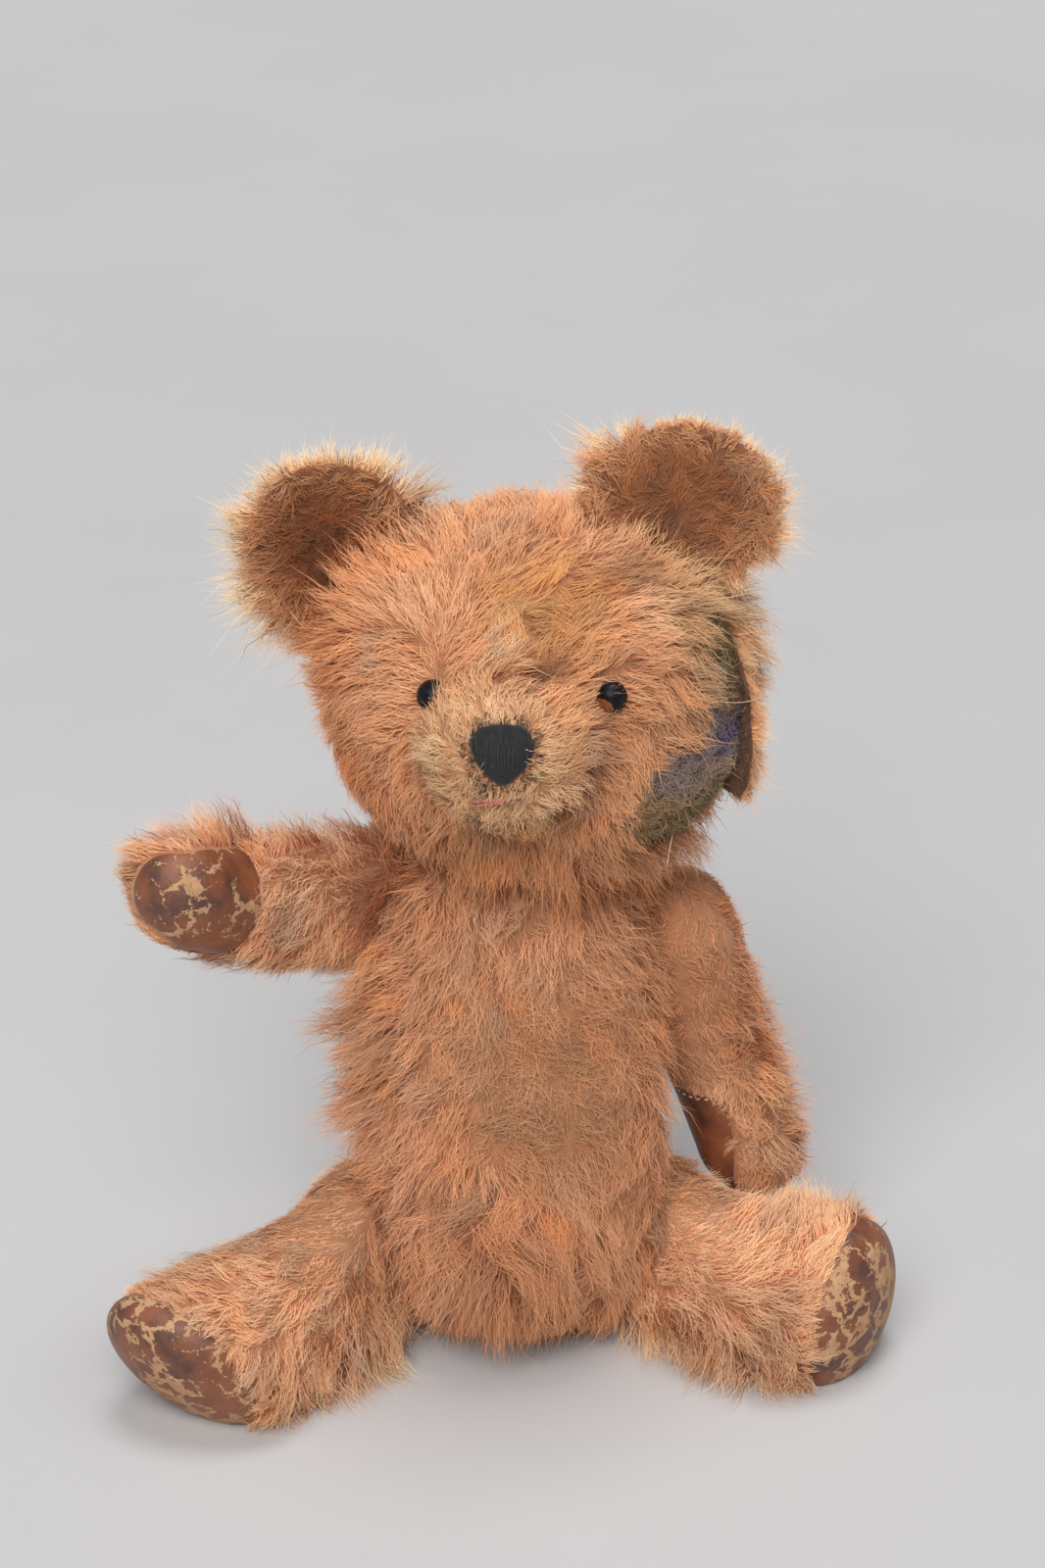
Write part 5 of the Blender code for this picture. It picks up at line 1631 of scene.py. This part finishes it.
FLAP_ROWS = (  # up the tear: the height, how far it stands off and how far it reaches forward, in mm
    (22, 0, 7), (15, 0, 11), (8, 0, 14), (0, 0.3, 16), (-8, 1, 16), (-16, 2.5, 15), (-25, 5, 14),
    (-34, 8.5, 11),
)
FLAP_WAY, FLAP_OUT = np.array((0.40, -0.9165, 0)), np.array((0.9165, 0.40, 0))
FLAP_HALF_THICK = 0.5 * MM


def flap_grid(rows=44, across=14):
    """The flap's middle surface, in the head's frame, row by row down the front edge of the tear."""
    table = np.array(FLAP_ROWS, float)
    at = np.linspace(0, len(table) - 1, rows)
    up, off, width = (np.interp(at, np.arange(len(table)), table[:, k]) for k in range(3))
    taken = (9 / 56) ** HEAD_ROUNDING + np.abs(up / 58) ** HEAD_ROUNDING
    side = 69 * (1 - taken) ** (1 / HEAD_ROUNDING) - 4.6 + 0.8 * off
    rear = np.stack([side, np.full(rows, -9.0), up], 1)
    share = np.linspace(0, 1, across)
    knots = np.arange(0, rows, 3)
    ragged = 1 + 0.06 * np.interp(np.arange(rows), knots, np.random.default_rng(71).normal(0, 1, len(knots)))
    reach = FLAP_WAY * (width * ragged)[:, None]
    curl = np.sin(np.pi * share * 0.5) ** 2
    outer = rear[:, None] + reach[:, None] * share[None, :, None] + FLAP_OUT * (curl * 2.0)[None, :, None]
    return outer.reshape(-1, 3) * MM, np.arange(rows * across).reshape(rows, across)


def flap_fur(points, normals):
    comb = np.broadcast_to(np.array((0.9, -0.3, -0.9)), points.shape)
    return plain_style(points, comb, length=9.5, lift=0.4, stray=0.4, hug=0.1, glow=0.8, frizz=0.14,
                       tip=tone(246, 196, 148), root=tone(196, 136, 94))


def flap_fuzz(points, normals):
    comb = np.broadcast_to(np.array((0.4, -0.3, -0.9)), points.shape)
    return plain_style(points, comb, length=4.0, lift=0.3, stray=1.0, hug=0.3, frizz=0.25, clump=0.15,
                       width=0.24, tip=tone(158, 112, 80), root=tone(110, 72, 48))


def add_flap():
    """The torn cloth that hangs forward from the hole: fur outside, backing inside."""
    frame_of = SKINS["head"].frame
    middle, grid = flap_grid()
    quads = np.stack([grid[:-1, :-1], grid[:-1, 1:], grid[1:, 1:], grid[1:, :-1]], -1).reshape(-1, 4)
    tris = np.concatenate([quads[:, :3], quads[:, [0, 2, 3]]])
    normals = normals_of(middle, tris)
    if (normals @ FLAP_OUT).sum() < 0:
        normals, tris = -normals, tris[:, ::-1]
    outside, inside = middle + normals * FLAP_HALF_THICK, middle - normals * FLAP_HALF_THICK
    n = len(middle)
    edge = np.concatenate([grid[0, :], grid[1:, -1], grid[-1, -2::-1], grid[-2:0:-1, 0]])
    after = np.roll(edge, -1)
    walls = [np.stack([edge, after, after + n], 1), np.stack([edge, after + n, edge + n], 1)]
    faces = np.concatenate([tris, tris[:, ::-1] + n, *walls])
    lining = backing_material("flap_backing", tone(92, 58, 38), tone(128, 88, 60))
    obj = mesh_object("torn_flap", moved(np.concatenate([outside, inside]), frame_of), faces,
                      [BACKING, lining], "head")
    lined = np.arange(len(faces)) >= len(tris)
    obj.data.polygons.foreach_set("material_index", lined.astype(np.int32))
    coat = Coat()
    everywhere = lambda points, normals: np.ones(len(points))
    coat.grow_on(shell(outside, tris, frame_of), 3600, everywhere, 72, flap_fur)
    inwards = matrix(frame_of)[:3, :3] @ -FLAP_OUT
    coat.grow_on(shell(inside, tris, frame_of), 1600, everywhere, 74, flap_fuzz, 10, 2, inwards)
    coat.build("flap_fur", "head", "plush")


# ---------------------------------------------------------------- pieces inside, which keep their CAD shape

def dress_inner_parts():
    wool = mottled("packed_wool", 0.95, [(0.3, tone(60, 60, 54)), (0.7, tone(140, 134, 120))], 140, 5, 0.7,
                   grain=(700, 4, 0.7, 0.001, 0.8))
    board = mottled("hardboard", 0.8, [(0.3, tone(96, 66, 42)), (0.7, tone(140, 102, 68))], 500, 5, 0.7,
                    grain=(1800, 3, 0.6, 0.0002, 0.5))
    steel, tree, shader = new_material("dull_steel", 0.4, Metallic=1.0)
    where = object_coords(tree)
    colour = ramp(tree, noise(tree, where, 300, 4), [(0.3, tone(120, 112, 104)), (0.7, tone(176, 174, 170))])
    tree.links.new(colour, shader.inputs["Base Color"])
    dull = ramp(tree, noise(tree, where, 900, 3), [(0.3, (0.3,) * 3), (0.7, (0.55,) * 3)])
    tree.links.new(dull, shader.inputs["Roughness"])
    for name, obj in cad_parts.items():
        if obj.hide_render:
            continue
        finish = wool if name.endswith("_stuffing") else board if name.endswith("_disc") else steel
        obj.data.materials.clear()
        obj.data.materials.append(finish)


# ---------------------------------------------------------------- stage

LIGHTS = (  # name, the way to it, its angle in degrees, strength and colour
    ("front_softbox", (-0.18, -1.0, 1.0), 40, 2.52, (1.0, 0.99, 0.97)),
    ("top_softbox", (0.06, 0.1, 1.0), 26, 1.15, (0.98, 0.99, 1.0)),
)
SKY, SKY_STRENGTH = tone(236, 238, 242), 0.24
BACKDROP = tone(203, 202, 203)


def add_world():
    """A dim even sky, seen as the backdrop's grey."""
    world = bpy.data.worlds.new("studio")
    bpy.context.scene.world = world
    world.use_nodes = True
    tree = world.node_tree
    tree.nodes.clear()
    path = add_node(tree, "ShaderNodeLightPath").outputs["Is Camera Ray"]
    soft = add_node(tree, "ShaderNodeBackground", {"Color": (*SKY, 1), "Strength": SKY_STRENGTH})
    seen = add_node(tree, "ShaderNodeBackground", {"Color": (*BACKDROP, 1), "Strength": 1.0})
    mix = add_node(tree, "ShaderNodeMixShader", {0: path, 1: soft.outputs[0], 2: seen.outputs[0]})
    out = add_node(tree, "ShaderNodeOutputWorld", {"Surface": mix.outputs[0]})
    out.is_active_output = True


def add_floor():
    floor, tree, shader = new_material("studio_floor", 0.9)
    where = object_coords(tree)
    stops = [(0.3, tone(195, 194, 195)), (0.7, tone(200, 199, 200))]
    colour = ramp(tree, noise(tree, where, 3, 6, 0.6), stops)
    # painted shade: the floor darkens towards the back
    depth = add_node(tree, "ShaderNodeSeparateXYZ", {"Vector": where}).outputs["Y"]
    fall = ramp(tree, depth, [(0.0, (1, 1, 1)), (0.8, (0.93, 0.925, 0.92))])
    tree.links.new(mixed(tree, 1.0, colour, fall, "MULTIPLY"), shader.inputs["Base Color"])
    bpy.ops.mesh.primitive_plane_add(size=12, location=(0, 0, 0))
    plane = bpy.context.object
    plane.name = "studio_floor"
    plane.data.materials.append(floor)


def add_lights():
    for name, way, angle, power, colour in LIGHTS:
        light = bpy.data.lights.new(name, "SUN")
        light.angle, light.energy, light.color = math.radians(angle), power, colour
        lamp = bpy.data.objects.new(name, light)
        bpy.context.scene.collection.objects.link(lamp)
        lamp.location = Vector(way) * 2
        lamp.rotation_euler = Vector(way).to_track_quat("Z", "Y").to_euler()
    bpy.context.scene.view_settings.view_transform = "Standard"


def add_camera():
    elevation, distance, target = math.radians(24), 1.5, Vector((0.001, 0, 0.2))
    camera = bpy.data.cameras.new("camera")
    camera.lens, camera.sensor_width, camera.clip_end = 101.25, 36, 30
    obj = bpy.data.objects.new("camera", camera)
    bpy.context.scene.collection.objects.link(obj)
    back = Vector((0, -math.cos(elevation), math.sin(elevation)))
    obj.location = target + back * distance
    obj.rotation_euler = (-back).to_track_quat("-Z", "Y").to_euler()
    bpy.context.scene.camera = obj


# ---------------------------------------------------------------- the whole bear

STRANDS = {"torso": 40000, "head": 44000, "arm": 12000, "leg": 16500, "ear": 7500}


def main():
    add_camera()
    add_world()
    add_floor()
    add_lights()
    add_skin("torso", "torso", ["torso_cover"], BACKING)
    add_skin("head", "head", ["head_cover"], BACKING, drop=in_tear)
    for side in SIDES:
        for limb in (f"{side}_arm", f"{side}_leg"):
            add_skin(limb, limb, [f"{limb}_cover"], BACKING)
    ear_cloth = backing_material("ear_cloth", tone(104, 62, 36), tone(166, 104, 62), 700)
    for side in SIDES:
        add_skin(f"{side}_ear", "head", [f"{side}_ear"], ear_cloth)
    add_pads()
    add_eyes()
    add_nose()
    add_nose_fuzz()
    add_mouth()
    add_tear()
    add_flap()
    add_loose_threads()
    dress_inner_parts()
    torso_fur()
    head_fur()
    for shift, side in enumerate(SIDES):
        limb_fur(side, "arm", 31 + shift)
        limb_fur(side, "leg", 33 + shift)
        ear_fur(side, 35 + shift)


main()
